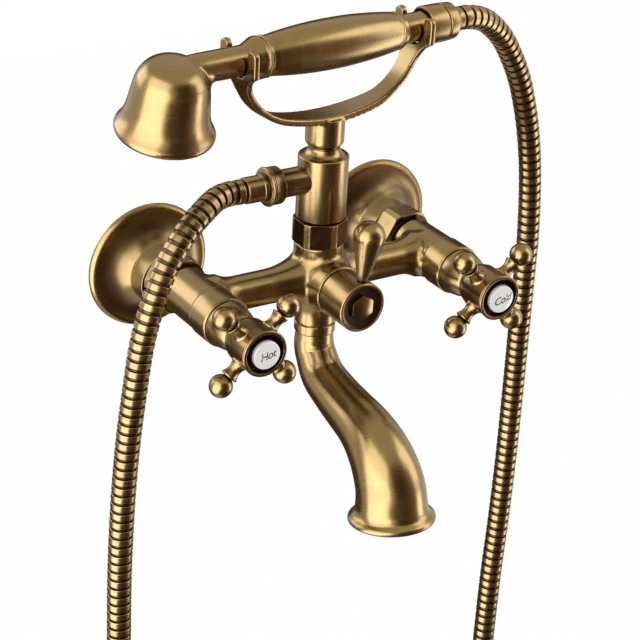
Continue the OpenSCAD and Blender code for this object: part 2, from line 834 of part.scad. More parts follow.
// Cross handles
module handle_hub(side) {
    color(dark_brass) on_valve(side) difference() {
        rotate_extrude() difference() {
            union() {
                translate([0, hub_back_s]) polygon([
                    [0, 0], [hub_back_d / 2, 0], [handle_hub_d / 2, hub_back_taper],
                    [handle_hub_d / 2, handle_hub_len], [0, handle_hub_len]]);
                translate([handle_hub_d / 2 - hub_bead_sink, hub_front_s - hub_bead_d / 2]) circle(d = hub_bead_d);
            }
            translate([index_boss_d / 2, hub_floor_s])
                square([(recess_d - index_boss_d) / 2, recess_depth + overlap]);
            translate([0, disc_seat_s]) square([recess_d / 2 - recess_draft, index_disc_t + overlap]);
            translate([0, disc_seat_s - counterbore_depth])
                square([counterbore_d / 2, counterbore_depth + overlap]);
            translate([0, hub_back_s - overlap])
                square([spline_d / 2 + running_clear, spline_end_s - hub_back_s + overlap]);
            translate([0, spline_end_s - overlap])
                square([screw_d / 2 + thread_clear, disc_seat_s - spline_end_s]);
        }
        for (k = [0 : 3]) on_arm(side, k)
            rod(arm_spigot_d + 2 * thread_clear, handle_hub_d / 2 - arm_spigot_len, handle_hub_d / 2 + overlap);
    }
}

// Local z runs out along arm k of a handle
module on_arm(side, k) {
    turn = side < 0 ? hot_handle_angle : cold_handle_angle;
    translate([0, 0, arm_s]) rotate([0, 0, 45 + 90 * k - turn]) rotate([0, 90, 0]) children();
}

module handle_arm() {
    root = handle_hub_d / 2;
    collar = ball_reach - ball_d / 2 + ball_sink;
    waist_len = collar - arm_collar_t - root;
    waist_r = (pow(waist_len / 2, 2) + pow((arm_d - arm_waist_d) / 2, 2)) / (arm_d - arm_waist_d);
    rotate_extrude() {
        translate([0, root - arm_spigot_len + joint_gap])
            square([arm_spigot_d / 2, arm_spigot_len + overlap]);
        difference() {
            translate([0, root - 2]) square([arm_d / 2, collar - root + 2]);
            translate([arm_waist_d / 2 + waist_r, root + waist_len / 2]) circle(waist_r);
        }
        translate([0, collar - overlap]) square([ball_neck_d / 2, 2 * overlap + ball_root]);
    }
    translate([0, 0, ball_reach]) sphere(d = ball_d);
}

module handle_arms(side) {
    color(brass) on_valve(side) for (k = [0 : 3]) on_arm(side, k) difference() {
        handle_arm();
        difference() {
            rotate([0, -90, 0]) rod(handle_hub_d + 2 * running_clear, -arm_d, arm_d);
            rod(arm_spigot_d, 0, handle_hub_d);
        }
    }
}

module index_disc(side) {
    crown_r = (pow(index_disc_d / 2, 2) + pow(index_crown, 2)) / (2 * index_crown);
    color(porcelain) on_valve(side) {
        intersection() {
            rod(index_disc_d, disc_seat_s, disc_seat_s + index_disc_t + overlap);
            translate([0, 0, disc_seat_s + index_disc_t - crown_r]) sphere(r = crown_r, $fn = 128);
        }
        rod(counterbore_d - 2 * running_clear, disc_seat_s - index_tenon, disc_seat_s + overlap);
    }
}

module handle_screw(side) {
    seat = disc_seat_s - counterbore_depth;
    color(brown) on_valve(side) {
        rod(screw_head_d, seat, seat + screw_head_t);
        rod(screw_d, spline_end_s - screw_len + overlap, seat + overlap);
    }
}

// Diverter
module diverter_gland() {
    color(brown) on_diverter() bored(gland_d - 2 * thread_clear, stem_d + 2 * running_clear,
        diverter_front_s - gland_t, diverter_front_s);
}

module ring_groove(d, s) {
    translate([0, 0, s - o_ring_d / 2 - running_clear]) ring(d + overlap, d - 2 * (o_ring_d + running_clear), o_ring_d + 2 * running_clear);
}

module diverter_rotor() {
    color(brown) on_diverter() difference() {
        union() {
            rod(rotor_d, rotor_back_s, rotor_front_s);
            rod(stem_d, rotor_front_s - overlap, stem_end_s);
        }
        rod(rotor_hollow_d, rotor_back_s - overlap, body_reach + port_offset + rotor_port_d / 2);
        translate([0, 0, body_reach + port_offset]) {
            rotate([90, 0, 0]) rod(rotor_port_d, 0, rotor_d);
            rotate([0, -90, 0]) rod(rotor_port_d, 0, rotor_d);
        }
        ring_groove(rotor_d, rotor_ring_s);
        ring_groove(stem_d, stem_ring_s);
        rod(cap_screw_d + 2 * thread_clear, stem_end_s - cap_screw_len, stem_end_s + overlap);
    }
}

module diverter_seals() {
    color(rubber) on_diverter() {
        translate([0, 0, rotor_ring_s]) o_ring(rotor_d - 2 * o_ring_d);
        translate([0, 0, stem_ring_s]) o_ring(stem_d - 2 * o_ring_d);
    }
}

// Local z runs out along the lever
module on_lever() {
    on_diverter() translate([0, 0, lever_s]) rotate([0, 0, -lever_lean]) rotate([-90, 0, 0]) children();
}

module diverter_sleeve() {
    color(brass) difference() {
        on_diverter() difference() {
            rod(sleeve_d, sleeve_back_s, sleeve_front_s);
            rod(stem_d + 2 * running_clear, sleeve_back_s - overlap, sleeve_front_s);
            rod(cap_d + 2 * thread_clear, sleeve_front_s - cap_inset - cap_t, sleeve_front_s + overlap);
        }
        on_lever() rod(lever_stem_d + 2 * thread_clear, sleeve_d / 2 - lever_stem_len - joint_gap, sleeve_d);
    }
}

module diverter_cap() {
    seat = sleeve_front_s - cap_inset - cap_t;
    color(brown) on_diverter() {
        rod(cap_d, seat, seat + cap_t);
        translate([0, 0, seat + overlap])
            cylinder(r = cap_hex_af / 2 / cos(30), h = cap_t - overlap + cap_hex_h, $fn = 6);
        rod(cap_screw_d, stem_end_s - cap_screw_len + overlap, seat + overlap);
    }
}

// A teardrop: a cone from the foot that runs tangent into the ball at the end
module diverter_lever() {
    ball_r = lever_head_d / 2;
    foot_r = lever_foot_d / 2;
    span = lever_reach - lever_foot;
    taper = asin(ball_r / norm([foot_r, span])) - atan2(foot_r, span);
    color(brass) on_lever() {
        rod(lever_stem_d, sleeve_d / 2 - lever_stem_len, lever_foot + overlap);
        rotate_extrude() polygon([
            [0, lever_foot], [foot_r, lever_foot],
            [ball_r * cos(taper), lever_reach - ball_r * sin(taper)],
            [0, lever_reach - ball_r * sin(taper)]]);
        translate([0, 0, lever_reach]) sphere(d = lever_head_d);
    }
}

// Bath spout
module spout_ring_nut() {
    color(brass) on_centre() mirror([0, 0, 1]) difference() {
        rod(spout_boss_d, ring_nut_z, ring_nut_z + ring_nut_len);
        rod(spout_thread_d + 2 * thread_clear, ring_nut_z - overlap, ring_nut_lip_z);
        rod(spout_neck_d + 2 * lip_clear, ring_nut_z, ring_nut_z + ring_nut_len + overlap);
    }
}

// Middle line and radius of the spout, and the rings of its skin
function spout_points() = curve([for (p = spout_line) [0, p[0], -spout_top_z - p[1]]], spout_steps);
function spout_radii() = [for (p = curve([for (q = spout_line) [q[2], 0, 0]], spout_steps)) p[0]];
function spout_end() = spout_points()[len(spout_points()) - 1];
function spout_heading() = heading(spout_points(), len(spout_points()) - 1);

module spout_skin() {
    line = spout_points();
    radii = spout_radii();
    last = len(line) - 1;
    aim = spout_heading();
    across = [1, 0, 0];
    outer = [for (i = [0 : last]) ring_points(line[i], heading(line, i), radii[i], across, spout_sides)];
    lip = [for (a = spout_lip_turn)
        ring_points(line[last] + (spout_rim_h / 2) * (1 + sin(a)) * aim, aim,
            radii[last] + (spout_rim_rise - spout_rim_h / 2) + spout_rim_h / 2 * cos(a), across, spout_sides)];
    bore = [for (i = [last : -1 : 0])
        ring_points(line[i], heading(line, i), radii[i] - spout_wall, across, spout_sides)];
    mouth = [ring_points(line[last] + spout_rim_h * aim, aim, radii[last] - spout_wall, across, spout_sides)];
    ring_loop(concat(outer, lip, mouth, bore));
}

// Local z runs out of the spout's mouth, from the end of its middle line
module on_mouth() {
    aim = spout_heading();
    on_spout() translate(spout_end()) rotate([atan2(aim[1], -aim[2]) + 180, 0, 0]) children();
}

module spout() {
    color(brass) difference() {
        union() {
            on_spout() spout_skin();
            on_centre() mirror([0, 0, 1]) {
                rod(spout_thread_d - 2 * lip_clear, spout_flange_z, ring_nut_lip_z - joint_gap);
                rod(spout_neck_d, spout_flange_z, spout_top_z + overlap);
                rod(spout_socket_d, spout_top_z, spigot_end_z + overlap / 2);
            }
        }
        on_centre() mirror([0, 0, 1])
            rod(spigot_d + 4 * running_clear, spout_flange_z - overlap, spigot_end_z + overlap);
        on_mouth() rod(outlet_d + 2 * running_clear,
            spout_rim_h - outlet_inset - outlet_t, spout_rim_h + overlap);
    }
}

module spout_orings() {
    color(rubber) on_centre() mirror([0, 0, 1]) for (k = [1, 2])
        translate([0, 0, spigot_z + spigot_len * k / 3]) o_ring(spigot_d - 2 * o_ring_d);
}

module outlet_insert() {
    color(brown) on_mouth() difference() {
        rod(outlet_d, spout_rim_h - outlet_inset - outlet_t, spout_rim_h - outlet_inset);
        for (ix = [-outlet_rows : outlet_rows], iy = [-outlet_rows : outlet_rows]) if (norm([ix, iy]) < outlet_round)
            translate([ix * outlet_hole_pitch, iy * outlet_hole_pitch, 0])
                rod(outlet_hole_d, -outlet_d, outlet_d);
    }
}

// Riser
module riser_nut() {
    lip_z = riser_flange_z + riser_flange_t;
    color(brown) on_centre() difference() {
        translate([0, 0, riser_nut_z]) rotate([0, 0, 30]) hex_blank(riser_nut_af, riser_nut_len);
        rod(riser_thread_d + 2 * thread_clear, riser_nut_z - overlap, lip_z);
        rod(riser_tail_d + 2 * thread_clear, riser_nut_z, riser_nut_z + riser_nut_len + overlap);
    }
}

module riser_washer() {
    color(rubber) on_centre() bored(riser_flange_d - 1, riser_bore_d, riser_washer_z, riser_flange_z);
}

module riser_tube() {
    shoulder_w = (riser_d - shoulder_top_d) / 2;
    color(brass) on_centre() difference() {
        rotate_extrude() difference() {
            union() {
                translate([0, riser_flange_z]) square([riser_flange_d / 2, riser_flange_t]);
                translate([0, riser_flange_z]) square([riser_tail_d / 2, riser_base_z - riser_flange_z + overlap]);
                translate([0, riser_base_z]) square([riser_d / 2, riser_len]);
                difference() {
                    translate([0, riser_top_z - overlap]) square([riser_d / 2 - shoulder_step, shoulder_h + overlap]);
                    translate([riser_d / 2, riser_top_z + shoulder_h]) circle(shoulder_h);
                    translate([shoulder_top_d / 2, riser_top_z + shoulder_h / 2])
                        square([shoulder_w, shoulder_h]);
                }
                translate([0, riser_top_z]) square([pivot_d / 2, shoulder_h + pivot_len]);
            }
            translate([0, riser_flange_z - overlap])
                square([riser_bore_d / 2, outlet_z - riser_flange_z + riser_bore_d / 2]);
            translate([pivot_groove_d / 2, groove_z - pivot_groove_w / 2]) square([pivot_d, pivot_groove_w]);
        }
        translate([0, 0, outlet_z]) rotate([0, -90, 0]) rod(nipple_spigot_d + 2 * thread_clear, 0, riser_d);
    }
}

// Hose connection on the riser, and the foot of the hose
module hose_nipple() {
    color(brown) on_hose_outlet() difference() {
        union() {
            rod(nipple_spigot_d, riser_bore_d / 2 + joint_gap, nipple_neck_end);
            difference() {
                rod(nipple_neck_d, riser_d / 2 - nipple_root, nipple_neck_end);
                rotate([0, 90, 0]) rod(riser_d + 2 * running_clear, -riser_d, riser_d);
            }
            rod(hose_thread_d, nipple_neck_end - overlap, nipple_end);
        }
        rod(nipple_bore_d, 0, nipple_end + overlap);
    }
}

module lower_hose_washer() {
    color(rubber) on_hose_outlet() bored(hose_thread_d - flange_play, nipple_bore_d, nipple_end, nipple_end + washer_t);
}

module lower_hose_ferrule() {
    flange = nipple_end + washer_t;
    color(brass) on_hose_outlet() difference() {
        union() {
            rod(hose_thread_d - flange_play, flange, flange + ferrule_flange_t);
            rod(ferrule_d, flange, hose_start_x);
        }
        rod(nipple_bore_d, flange - overlap, hose_start_x + overlap);
    }
}

module lower_hose_nut() {
    lip = nipple_end + washer_t + ferrule_flange_t + joint_gap;
    color(brass) on_hose_outlet() rotate_extrude() difference() {
        union() {
            translate([0, lower_nut_back]) square([lower_nut_d / 2, lower_nut_front - lower_nut_back]);
            translate([lower_nut_d / 2 - lower_bead_sink, lower_bead]) circle(lower_bead_r);
        }
        translate([0, lower_nut_back - overlap])
            square([hose_thread_d / 2 + thread_clear, lip - lower_nut_back + overlap]);
        translate([0, lower_nut_back])
            square([ferrule_d / 2 + lip_clear, lower_nut_front - lower_nut_back + overlap]);
    }
}

// Shower hose: ribs along the outside, a plain bore inside
module hose_tube(route) {
    line = curve(route, route_steps);
    lengths = run(line);
    total = lengths[len(lengths) - 1];
    ribs = round(total / rib_pitch);
    step = total / (2 * ribs);
    stations = [for (i = [0 : 2 * ribs]) along(line, lengths, i * step)];
    across = [0, 1, 0];
    skin = [for (i = [0 : 2 * ribs])
        ring_points(stations[i], heading(stations, i),
            hose_d / 2 - (i % 2 == 0 ? 0 : rib_depth), across, hose_sides)];
    bore = [for (i = [2 * ribs : -2 * bore_step : 0])
        ring_points(stations[i], heading(stations, i), hose_bore_d / 2, across, hose_sides)];
    ends = (2 * ribs) % (2 * bore_step) == 0 ? []
        : [ring_points(stations[0], heading(stations, 0), hose_bore_d / 2, across, hose_sides)];
    color(dark_brass) ring_loop(concat(skin, bore, ends));
    echo(hose_stretch = total, ribs = ribs);
}

function lower_exit() = [-hose_start_x, -body_reach, axis_z + outlet_z];
function upper_exit() = [
    hose_start_u * cos(cradle_swing), hose_start_u * sin(cradle_swing) - body_reach, axis_z + handset_z];
function upper_run() = hose_run * [cos(cradle_swing), sin(cradle_swing), 0];

module hose_lower() {
    hose_tube(concat([lower_exit()], lower_route, [hose_joint]));
}

module hose_upper() {
    hose_tube(concat([hose_joint + [0, 0, joint_gap]], upper_route,
        [for (k = [1, 0.5, 0]) upper_exit() + k * upper_run()]));
}

// Cradle
module strap_region(inset) {
    intersection() {
        translate([0, sole_z]) circle(strap_sole_r - inset, $fn = 360);
        polygon([[0, sole_z], 2 * [corner_x, corner_z] - [0, sole_z], 2 * [-corner_x, corner_z] - [0, sole_z]]);
    }
    for (way = [-1, 1]) translate([way * corner_x, corner_z]) circle(strap_corner_r - inset, $fn = 128);
    translate([inset - fork_reach, corner_z]) square([2 * (fork_reach - inset), cradle_height]);
}

module strap_outline() {
    difference() {
        strap_region(0);
        strap_region(strap_t);
    }
}

module fork_outline() {
    difference() {
        union() {
            polygon([
                [-strap_w / 2, strap_z - overlap], [strap_w / 2, strap_z - overlap],
                [strap_w / 2, strap_z], [strap_waist_w / 2, waist_z],
                [strap_waist_w / 2, handset_z - neck_d], [-strap_waist_w / 2, handset_z - neck_d],
                [-strap_waist_w / 2, waist_z], [-strap_w / 2, strap_z]]);
            difference() {
                translate([-fork_w / 2, fork_flare_z]) square([fork_w, prong_top_z - fork_flare_z]);
                for (way = [-1, 1])
                    translate([way * (strap_waist_w / 2 + fork_flare_r), fork_flare_z]) circle(fork_flare_r);
            }
            for (way = [-1, 1]) translate([way * (fork_w - prong_w) / 2, prong_top_z]) circle(d = prong_w);
        }
        translate([0, notch_z]) circle(d = notch_d);
        translate([-notch_d / 2, notch_z]) square([notch_d, cradle_height]);
    }
}

module cradle() {
    color(brass) on_cradle() difference() {
        union() {
            intersection() {
                rotate([90, 0, 0]) translate([0, 0, -fork_w]) linear_extrude(2 * fork_w) strap_outline();
                rotate([90, 0, 90]) translate([0, 0, -fork_reach - overlap])
                    linear_extrude(2 * (fork_reach + overlap)) fork_outline();
            }
            rotate_extrude() polygon([
                [0, cup_z], [cradle_cup_d / 2 - cup_bevel - cup_draft, cup_z], [cradle_cup_d / 2, cup_z + cup_bevel],
                [cradle_cup_d / 2, strap_z + strap_t / 2], [0, strap_z + strap_t / 2]]);
        }
        rod(pivot_d + 2 * running_clear, cup_z - overlap, pivot_base_z + pivot_len + joint_gap);
        translate([0, 0, groove_z]) rotate([-90, 0, 0]) rod(grub_d + 2 * thread_clear, 0, cradle_cup_d);
    }
}

module cradle_screw() {
    color(brown) on_cradle() translate([0, 0, groove_z]) rotate([-90, 0, 0]) {
        rod(grub_d, pivot_d / 2 + running_clear, cradle_cup_d / 2 - grub_sink);
        rod(grub_d - grub_tip_cut, pivot_groove_d / 2 + joint_gap, pivot_d / 2 + overlap);
    }
}

// Hand shower
module bell_outline(inset) {
    crown_r = bell_crown_r - inset;
    top_r = bell_top_d / 2 - bell_crown_r;
    shoulder_z = bell_crown_z - bell_crown_r;
    flare_z = lip_z + bell_flare_h;
    translate([0, shoulder_z - overlap]) square([top_r, crown_r + overlap]);
    intersection() {
        translate([top_r, shoulder_z]) circle(crown_r);
        translate([0, shoulder_z]) square([bell_top_d, crown_r]);
    }
    polygon([
        [0, shoulder_z], [bell_top_d / 2 - inset, shoulder_z],
        [bell_waist_d / 2 - inset, flare_z], [0, flare_z]]);
    difference() {
        translate([0, lip_z]) square([bell_lip_d / 2 - bell_edge - inset, bell_flare_h]);
        translate([bell_waist_d / 2 + bell_flare_r, flare_z]) circle(bell_flare_r + inset);
    }
}

module bell_solid() {
    rotate_extrude() {
        bell_outline(0);
        translate([bell_lip_d / 2 - bell_lip_r, lip_z]) circle(bell_lip_r);
        translate([0, lip_z - bell_lip_r]) square([bell_lip_d / 2 - bell_lip_r, bell_lip_r + overlap]);
    }
}

module bell_cavity() {
    rotate_extrude() {
        intersection() {
            bell_outline(bell_wall);
            translate([0, lip_z]) square([mouth_d / 2 - overlap, bell_h]);
        }
        translate([0, lip_z - bell_lip_r - overlap])
            square([mouth_d / 2, plate_inset + plate_t + overlap]);
    }
}

module on_bell() {
    on_cradle() translate([-bell_reach, 0, handset_z + bell_lift]) rotate([handset_roll, 0, 0]) children();
}

module handset_head() {
    color(brass) difference() {
        union() {
            on_bell() bell_solid();
            on_handset() rod(neck_d, neck_root - bell_reach, -neck_end);
            on_handset() rod(grip_bore_d - 2 * thread_clear, -neck_end - overlap, head_thread_len - neck_end);
        }
        on_bell() bell_cavity();
        on_handset() rod(hand_bore_d, -bell_reach, head_thread_len - neck_end + overlap);
    }
}

module spray_plate() {
    plate_z = bell_crown_z - bell_h + plate_inset;
    color(dark_brass) on_bell() difference() {
        rod(mouth_d - 2 * thread_clear, plate_z, plate_z + plate_t);
        for (row = spray_rows, k = [1 : row[0]]) rotate([0, 0, 360 * k / row[0]])
            translate([row[1], 0, 0]) rod(spray_hole_d, plate_z - overlap, plate_z + plate_t + overlap);
    }
}

module handset_collar() {
    color(brass) on_handset() rotate_extrude() difference() {
        union() {
            translate([0, -neck_end]) square([collar_d / 2 - collar_bead_r + collar_bead_bite, collar_w]);
            translate([collar_d / 2 - collar_bead_r, -neck_end + collar_w / 2]) circle(collar_bead_r);
        }
        translate([0, -neck_end - overlap]) square([grip_bore_d / 2, collar_w + 2 * overlap]);
    }
}

module handset_grip() {
    length = grip_end - grip_start;
    bulge = (grip_d - grip_end_d) / 2;
    bow_r = (pow(length / 2, 2) + bulge * bulge) / (2 * bulge);
    color(brass) on_handset() rotate_extrude() difference() {
        intersection() {
            translate([0, grip_start]) square([grip_d, length]);
            translate([grip_d / 2 - bow_r, (grip_start + grip_end) / 2]) circle(bow_r, $fn = 512);
        }
        translate([0, grip_start - overlap]) square([grip_bore_d / 2, length + 2 * overlap]);
    }
}

module handset_end_ring() {
    step = grip_end + end_ring_w[0];
    color(brass) on_handset() {
        bored(end_ring_d[0], grip_bore_d, grip_end, step);
        bored(end_ring_d[1], grip_bore_d, step - ring_bite, tail_start);
    }
}

module handset_tail() {
    color(brass) on_handset() difference() {
        union() {
            rod(grip_bore_d - 2 * thread_clear, tail_start - tail_thread_len, tail_start + overlap);
            rod(neck_d, tail_start, tail_end);
            rod(upper_thread_d, tail_thread_start, tail_end);
        }
        rod(hand_bore_d, tail_start - tail_thread_len - overlap, tail_end + overlap);
    }
}

module upper_hose_washer() {
    color(rubber) on_handset() bored(upper_thread_d - flange_play, hand_bore_d, tail_end, tail_end + washer_t);
}

module upper_hose_nut() {
    color(brass) on_handset() difference() {
        rod(upper_nut_d, upper_nut_start, upper_nut_end);
        rod(upper_thread_d + 2 * thread_clear, upper_nut_start - overlap,
            tail_end + washer_t + upper_flange_t + joint_gap);
        rod(ferrule_d + 2 * lip_clear, upper_nut_start, upper_nut_end + overlap);
    }
}

module upper_hose_ferrule() {
    flange = tail_end + washer_t;
    collar = upper_nut_end + 2 * joint_gap;
    color(dark_brass) on_handset() rotate_extrude() difference() {
        union() {
            translate([0, flange]) square([(upper_thread_d - flange_play) / 2, upper_flange_t]);
            translate([0, flange]) square([ferrule_d / 2, hose_start_u - flange]);
            translate([0, collar]) polygon([
                [0, 0], [upper_nut_d / 2 - ferrule_step, 0], [ferrule_neck_d / 2, ferrule_collar_len],
                [ferrule_d / 2, hose_start_u - collar], [0, hose_start_u - collar]]);
        }
        translate([0, flange - overlap]) square([hand_bore_d / 2, hose_start_u - flange + 2 * overlap]);
    }
}

body_casting();
wall_union(-1);  // hot_wall_union
wall_union(1);  // cold_wall_union
wall_rosette(-1);  // hot_wall_rosette
wall_rosette(1);  // cold_wall_rosette
union_nut(-1);  // hot_union_nut
union_nut(1);  // cold_union_nut
inlet_washer(-1);  // hot_inlet_washer
inlet_washer(1);  // cold_inlet_washer
seat_seal(-1);  // hot_seat_seal
seat_seal(1);  // cold_seat_seal
cartridge_body(-1);  // hot_cartridge_body
cartridge_body(1);  // cold_cartridge_body
fixed_disc(-1);  // hot_fixed_disc
fixed_disc(1);  // cold_fixed_disc
bonnet(-1);  // hot_bonnet
bonnet(1);  // cold_bonnet
moving_disc(-1);  // hot_moving_disc
moving_disc(1);  // cold_moving_disc
spindle(-1);  // hot_spindle
spindle(1);  // cold_spindle
handle_hub(-1);  // hot_handle_hub
handle_hub(1);  // cold_handle_hub
handle_arms(-1);  // hot_handle_arms
handle_arms(1);  // cold_handle_arms
index_disc(-1);  // hot_index_disc
index_disc(1);  // cold_index_disc
handle_screw(-1);  // hot_handle_screw
handle_screw(1);  // cold_handle_screw
diverter_gland();
diverter_rotor();
diverter_seals();
diverter_sleeve();
diverter_cap();
diverter_lever();
spout_ring_nut();
spout_orings();
spout();
outlet_insert();
riser_nut();
riser_washer();
riser_tube();
hose_nipple();
lower_hose_washer();
lower_hose_ferrule();
lower_hose_nut();
hose_lower();
cradle();
cradle_screw();
handset_head();
spray_plate();
handset_collar();
handset_grip();
handset_end_ring();
handset_tail();
upper_hose_washer();
upper_hose_nut();
upper_hose_ferrule();
hose_upper();
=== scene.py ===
"""Looks of a wall-mounted bath mixer with a hand shower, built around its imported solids."""

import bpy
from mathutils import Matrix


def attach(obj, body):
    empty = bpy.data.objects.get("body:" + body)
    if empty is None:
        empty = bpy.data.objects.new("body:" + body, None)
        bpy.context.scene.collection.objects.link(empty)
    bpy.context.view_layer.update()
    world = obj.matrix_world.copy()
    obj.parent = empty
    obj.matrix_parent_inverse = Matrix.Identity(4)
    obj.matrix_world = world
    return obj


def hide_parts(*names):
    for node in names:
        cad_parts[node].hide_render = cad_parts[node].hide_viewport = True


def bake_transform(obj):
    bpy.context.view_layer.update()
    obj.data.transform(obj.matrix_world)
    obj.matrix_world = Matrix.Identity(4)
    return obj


bl_info = {
    "name": "Bath mixer with hand shower",
    "version": (1, 0, 0),
    "blender": (4, 5, 0),
    "location": "View3D > Sidebar > Bath mixer",
    "description": "Dresses the packed solids of a bath mixer in aged brass and white porcelain",
    "category": "Object",
}

import math

import bmesh
import bpy
from bpy.props import FloatProperty, FloatVectorProperty, PointerProperty, StringProperty
from mathutils import Matrix, Vector

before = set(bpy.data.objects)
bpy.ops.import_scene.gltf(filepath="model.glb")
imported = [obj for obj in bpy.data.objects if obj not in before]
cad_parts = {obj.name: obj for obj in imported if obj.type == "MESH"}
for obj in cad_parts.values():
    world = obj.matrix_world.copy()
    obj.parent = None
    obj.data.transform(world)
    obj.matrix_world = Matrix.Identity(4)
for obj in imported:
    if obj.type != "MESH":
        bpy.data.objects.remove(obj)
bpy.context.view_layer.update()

MM = 0.001
SIDES = {"hot": -1, "cold": 1}

# Turns of the pieces about their own axes, in degrees.
HANDLE_TURN = {"hot": 1, "cold": 4}
LEVER_TURN = -7
SPOUT_TURN = 1.6
HANDSET_TURN = 4
BELL_TILT = 13
LETTER_TURN = 12

# Route of the hose, in millimetres: from the nipple down and up to the joint in the right leg,
# and from there to the hand shower.
HOSE_START = (-50, -60, 66)
HOSE_JOINT = (167, -36, -45)
LOWER_ROUTE = [
    (-55, -60, 66), (-60, -60, 66), (-68, -62, 65.3), (-77, -66, 62.2), (-88, -70, 56),
    (-96.5, -73, 48.3), (-105, -75, 37), (-111.5, -77, 24), (-116, -78, 12), (-120, -78, -5),
    (-124, -78, -34), (-127, -78, -60), (-129.5, -78, -95), (-131, -78, -140), (-131, -78, -190),
    (-131, -77, -245), (-131, -76, -300), (-129, -75, -351), (-119, -73, -404), (-89, -70, -452),
    (-43, -66, -483), (12, -61, -494), (67, -56, -483), (113, -52, -452), (144, -49, -404),
    (154, -46, -351), (156, -44, -297), (158.5, -42, -250), (162, -40, -210), (165, -38, -165),
    (167, -36, -115), (167, -36, -80)]
UPPER_ROUTE = [
    (167, -36, -30), (167, -36, -15), (165.5, -36, 12), (163, -36, 36), (158, -37, 59.5),
    (152, -38, 79.5), (145, -40, 95.5), (136, -42.5, 110.5), (126, -45.5, 123.5),
    (115, -48.5, 133.4), (104.5, -51.5, 139.4)]

# One rib of the hose: place along the pitch, share of the groove's depth.
# The depth share is also the share of dark film in the groove: painted shade, and patina.
HOSE_RIB = [(0.0, 1.0), (0.3, 1.0), (0.325, 0.4), (0.35, 0.1), (0.375, 0.0), (0.425, 0.0),
            (0.9, 0.0), (0.95, 0.0), (0.975, 0.3)]
RIB_STEPS = 40
CORD_SPACING = 0.004

# Middle line of the spout under its top: (y from the spout's axis, depth, radius).
SPOUT_LINE = [
    (0, 0, 10.6), (0, 3.2, 10.85), (0, 6.5, 11.15), (-0.8, 10.3, 11.4), (-3, 14.5, 11.6),
    (-11, 24, 12.4), (-25, 29.5, 13.2), (-40, 33.5, 14.2), (-52, 36.5, 15.2), (-63, 41.5, 16.6),
    (-73.5, 50, 18.2), (-81, 61.5, 19.4), (-83.5, 75, 20.2)]

# Mouth of the spout: (way past the end of the middle line, radius).
SPOUT_LIP = [
    (-6, 19.95), (-4, 20.2), (-2, 20.75), (-0.4, 21.7), (0.8, 23.0), (1.8, 24.0), (3.0, 24.4),
    (4.1, 24.0), (4.8, 23.0), (5.0, 21.8), (4.6, 19.2), (3.6, 18.4), (1.0, 18.0)]

# Outside of the hand shower's bell: (radius, height), from the crown to the lip.
BELL = [
    (0, 5.6), (5, 5.5), (10, 4.7), (14.5, 2.3), (17.8, -1.8), (19.6, -6.2), (20.5, -11),
    (21.2, -16), (21.8, -20.6), (22.5, -24.6), (23.6, -28.2), (25.0, -31.2), (26.3, -33.2),
    (26.8, -34.6), (26.5, -36.2), (25.6, -37.2), (24, -37.6)]


def both_sides(*names):
    """Nodes that the hot and the cold side each have."""
    return [f"{side}_{name}" for name in names for side in SIDES]


# Slots of the record, and the nodes that keep their own mesh.
KEPT_NODES = {
    "antique_brass": both_sides("cartridge_body", "spindle"),
    "dark_brass": ["spray_plate"],
    "brown_brass": both_sides("handle_screw") + [
        "diverter_gland", "diverter_rotor", "outlet_insert", "cradle_screw"],
    "ceramic": both_sides("fixed_disc", "moving_disc"),
    "rubber": both_sides("inlet_washer", "seat_seal") + [
        "diverter_seals", "spout_orings", "riser_washer", "lower_hose_washer",
        "upper_hose_washer"],
}


def length(name, description, default):
    """A size in metres, given in millimetres."""
    return FloatProperty(name=name, description=description, default=default * MM, unit="LENGTH")


def angle(name, description, default):
    """An angle, given in degrees."""
    return FloatProperty(name=name, description=description, default=math.radians(default),
                         subtype="ANGLE")


def pixels(name, description, default):
    """A measure in the picture."""
    return FloatProperty(name=name, description=description, default=default)


def colour(name, description, default):
    """A colour of a finish."""
    return FloatVectorProperty(name=name, description=description, default=default, size=4,
                               subtype="COLOR", min=0, max=1)


class MixerSizes(bpy.types.PropertyGroup):
    """Sizes of the pieces that are built here."""

    inlet_pitch: length("Inlet pitch", "Distance between the two valve axes", 150)
    axis_height: length("Axis height", "Height of the valve axes over the wall inlets", 6)
    body_reach: length("Body reach", "Distance from the wall to the crossbar's axis", 60)
    hose_outlet_height: length("Hose outlet height", "Height of the outlet over the crossbar", 60)
    handset_height: length("Hand shower height", "Its height over the crossbar", 136.1)
    rosette_d: length("Rosette diameter", "Diameter of a wall rosette", 73.4)
    bonnet_d: length("Bonnet diameter", "Diameter of the ring of a valve bonnet", 28.4)
    hub_d: length("Handle hub diameter", "Diameter of a cross handle's hub", 25.2)
    ball_d: length("Ball diameter", "Diameter of the balls on the cross handles", 12.8)
    disc_d: length("Disc diameter", "Diameter of a white index disc", 15.8)
    letter_height: length("Letter height", "Height of the letters on the index discs", 6.2)
    sleeve_d: length("Sleeve diameter", "Diameter of the diverter's sleeve", 28.4)
    lever_head_d: length("Lever head diameter", "Diameter of the lever's rounded end", 17.6)
    riser_d: length("Riser diameter", "Diameter of the riser tube", 28)
    grip_d: length("Grip diameter", "Greatest diameter of the hand shower's grip", 27.6)
    hose_d: length("Hose diameter", "Diameter of the hose over its ribs", 13.6)
    rib_pitch: length("Rib pitch", "Distance between the ribs of the hose", 5.3)
    groove_depth: length("Groove depth", "Depth of the grooves between the ribs", 1.1)
    cast_grid: length("Casting grid", "Grid size of the body's skin", 0.8)
    cast_fillet: length("Casting fillet", "Reach of the fillets in the body's corners", 6.4)


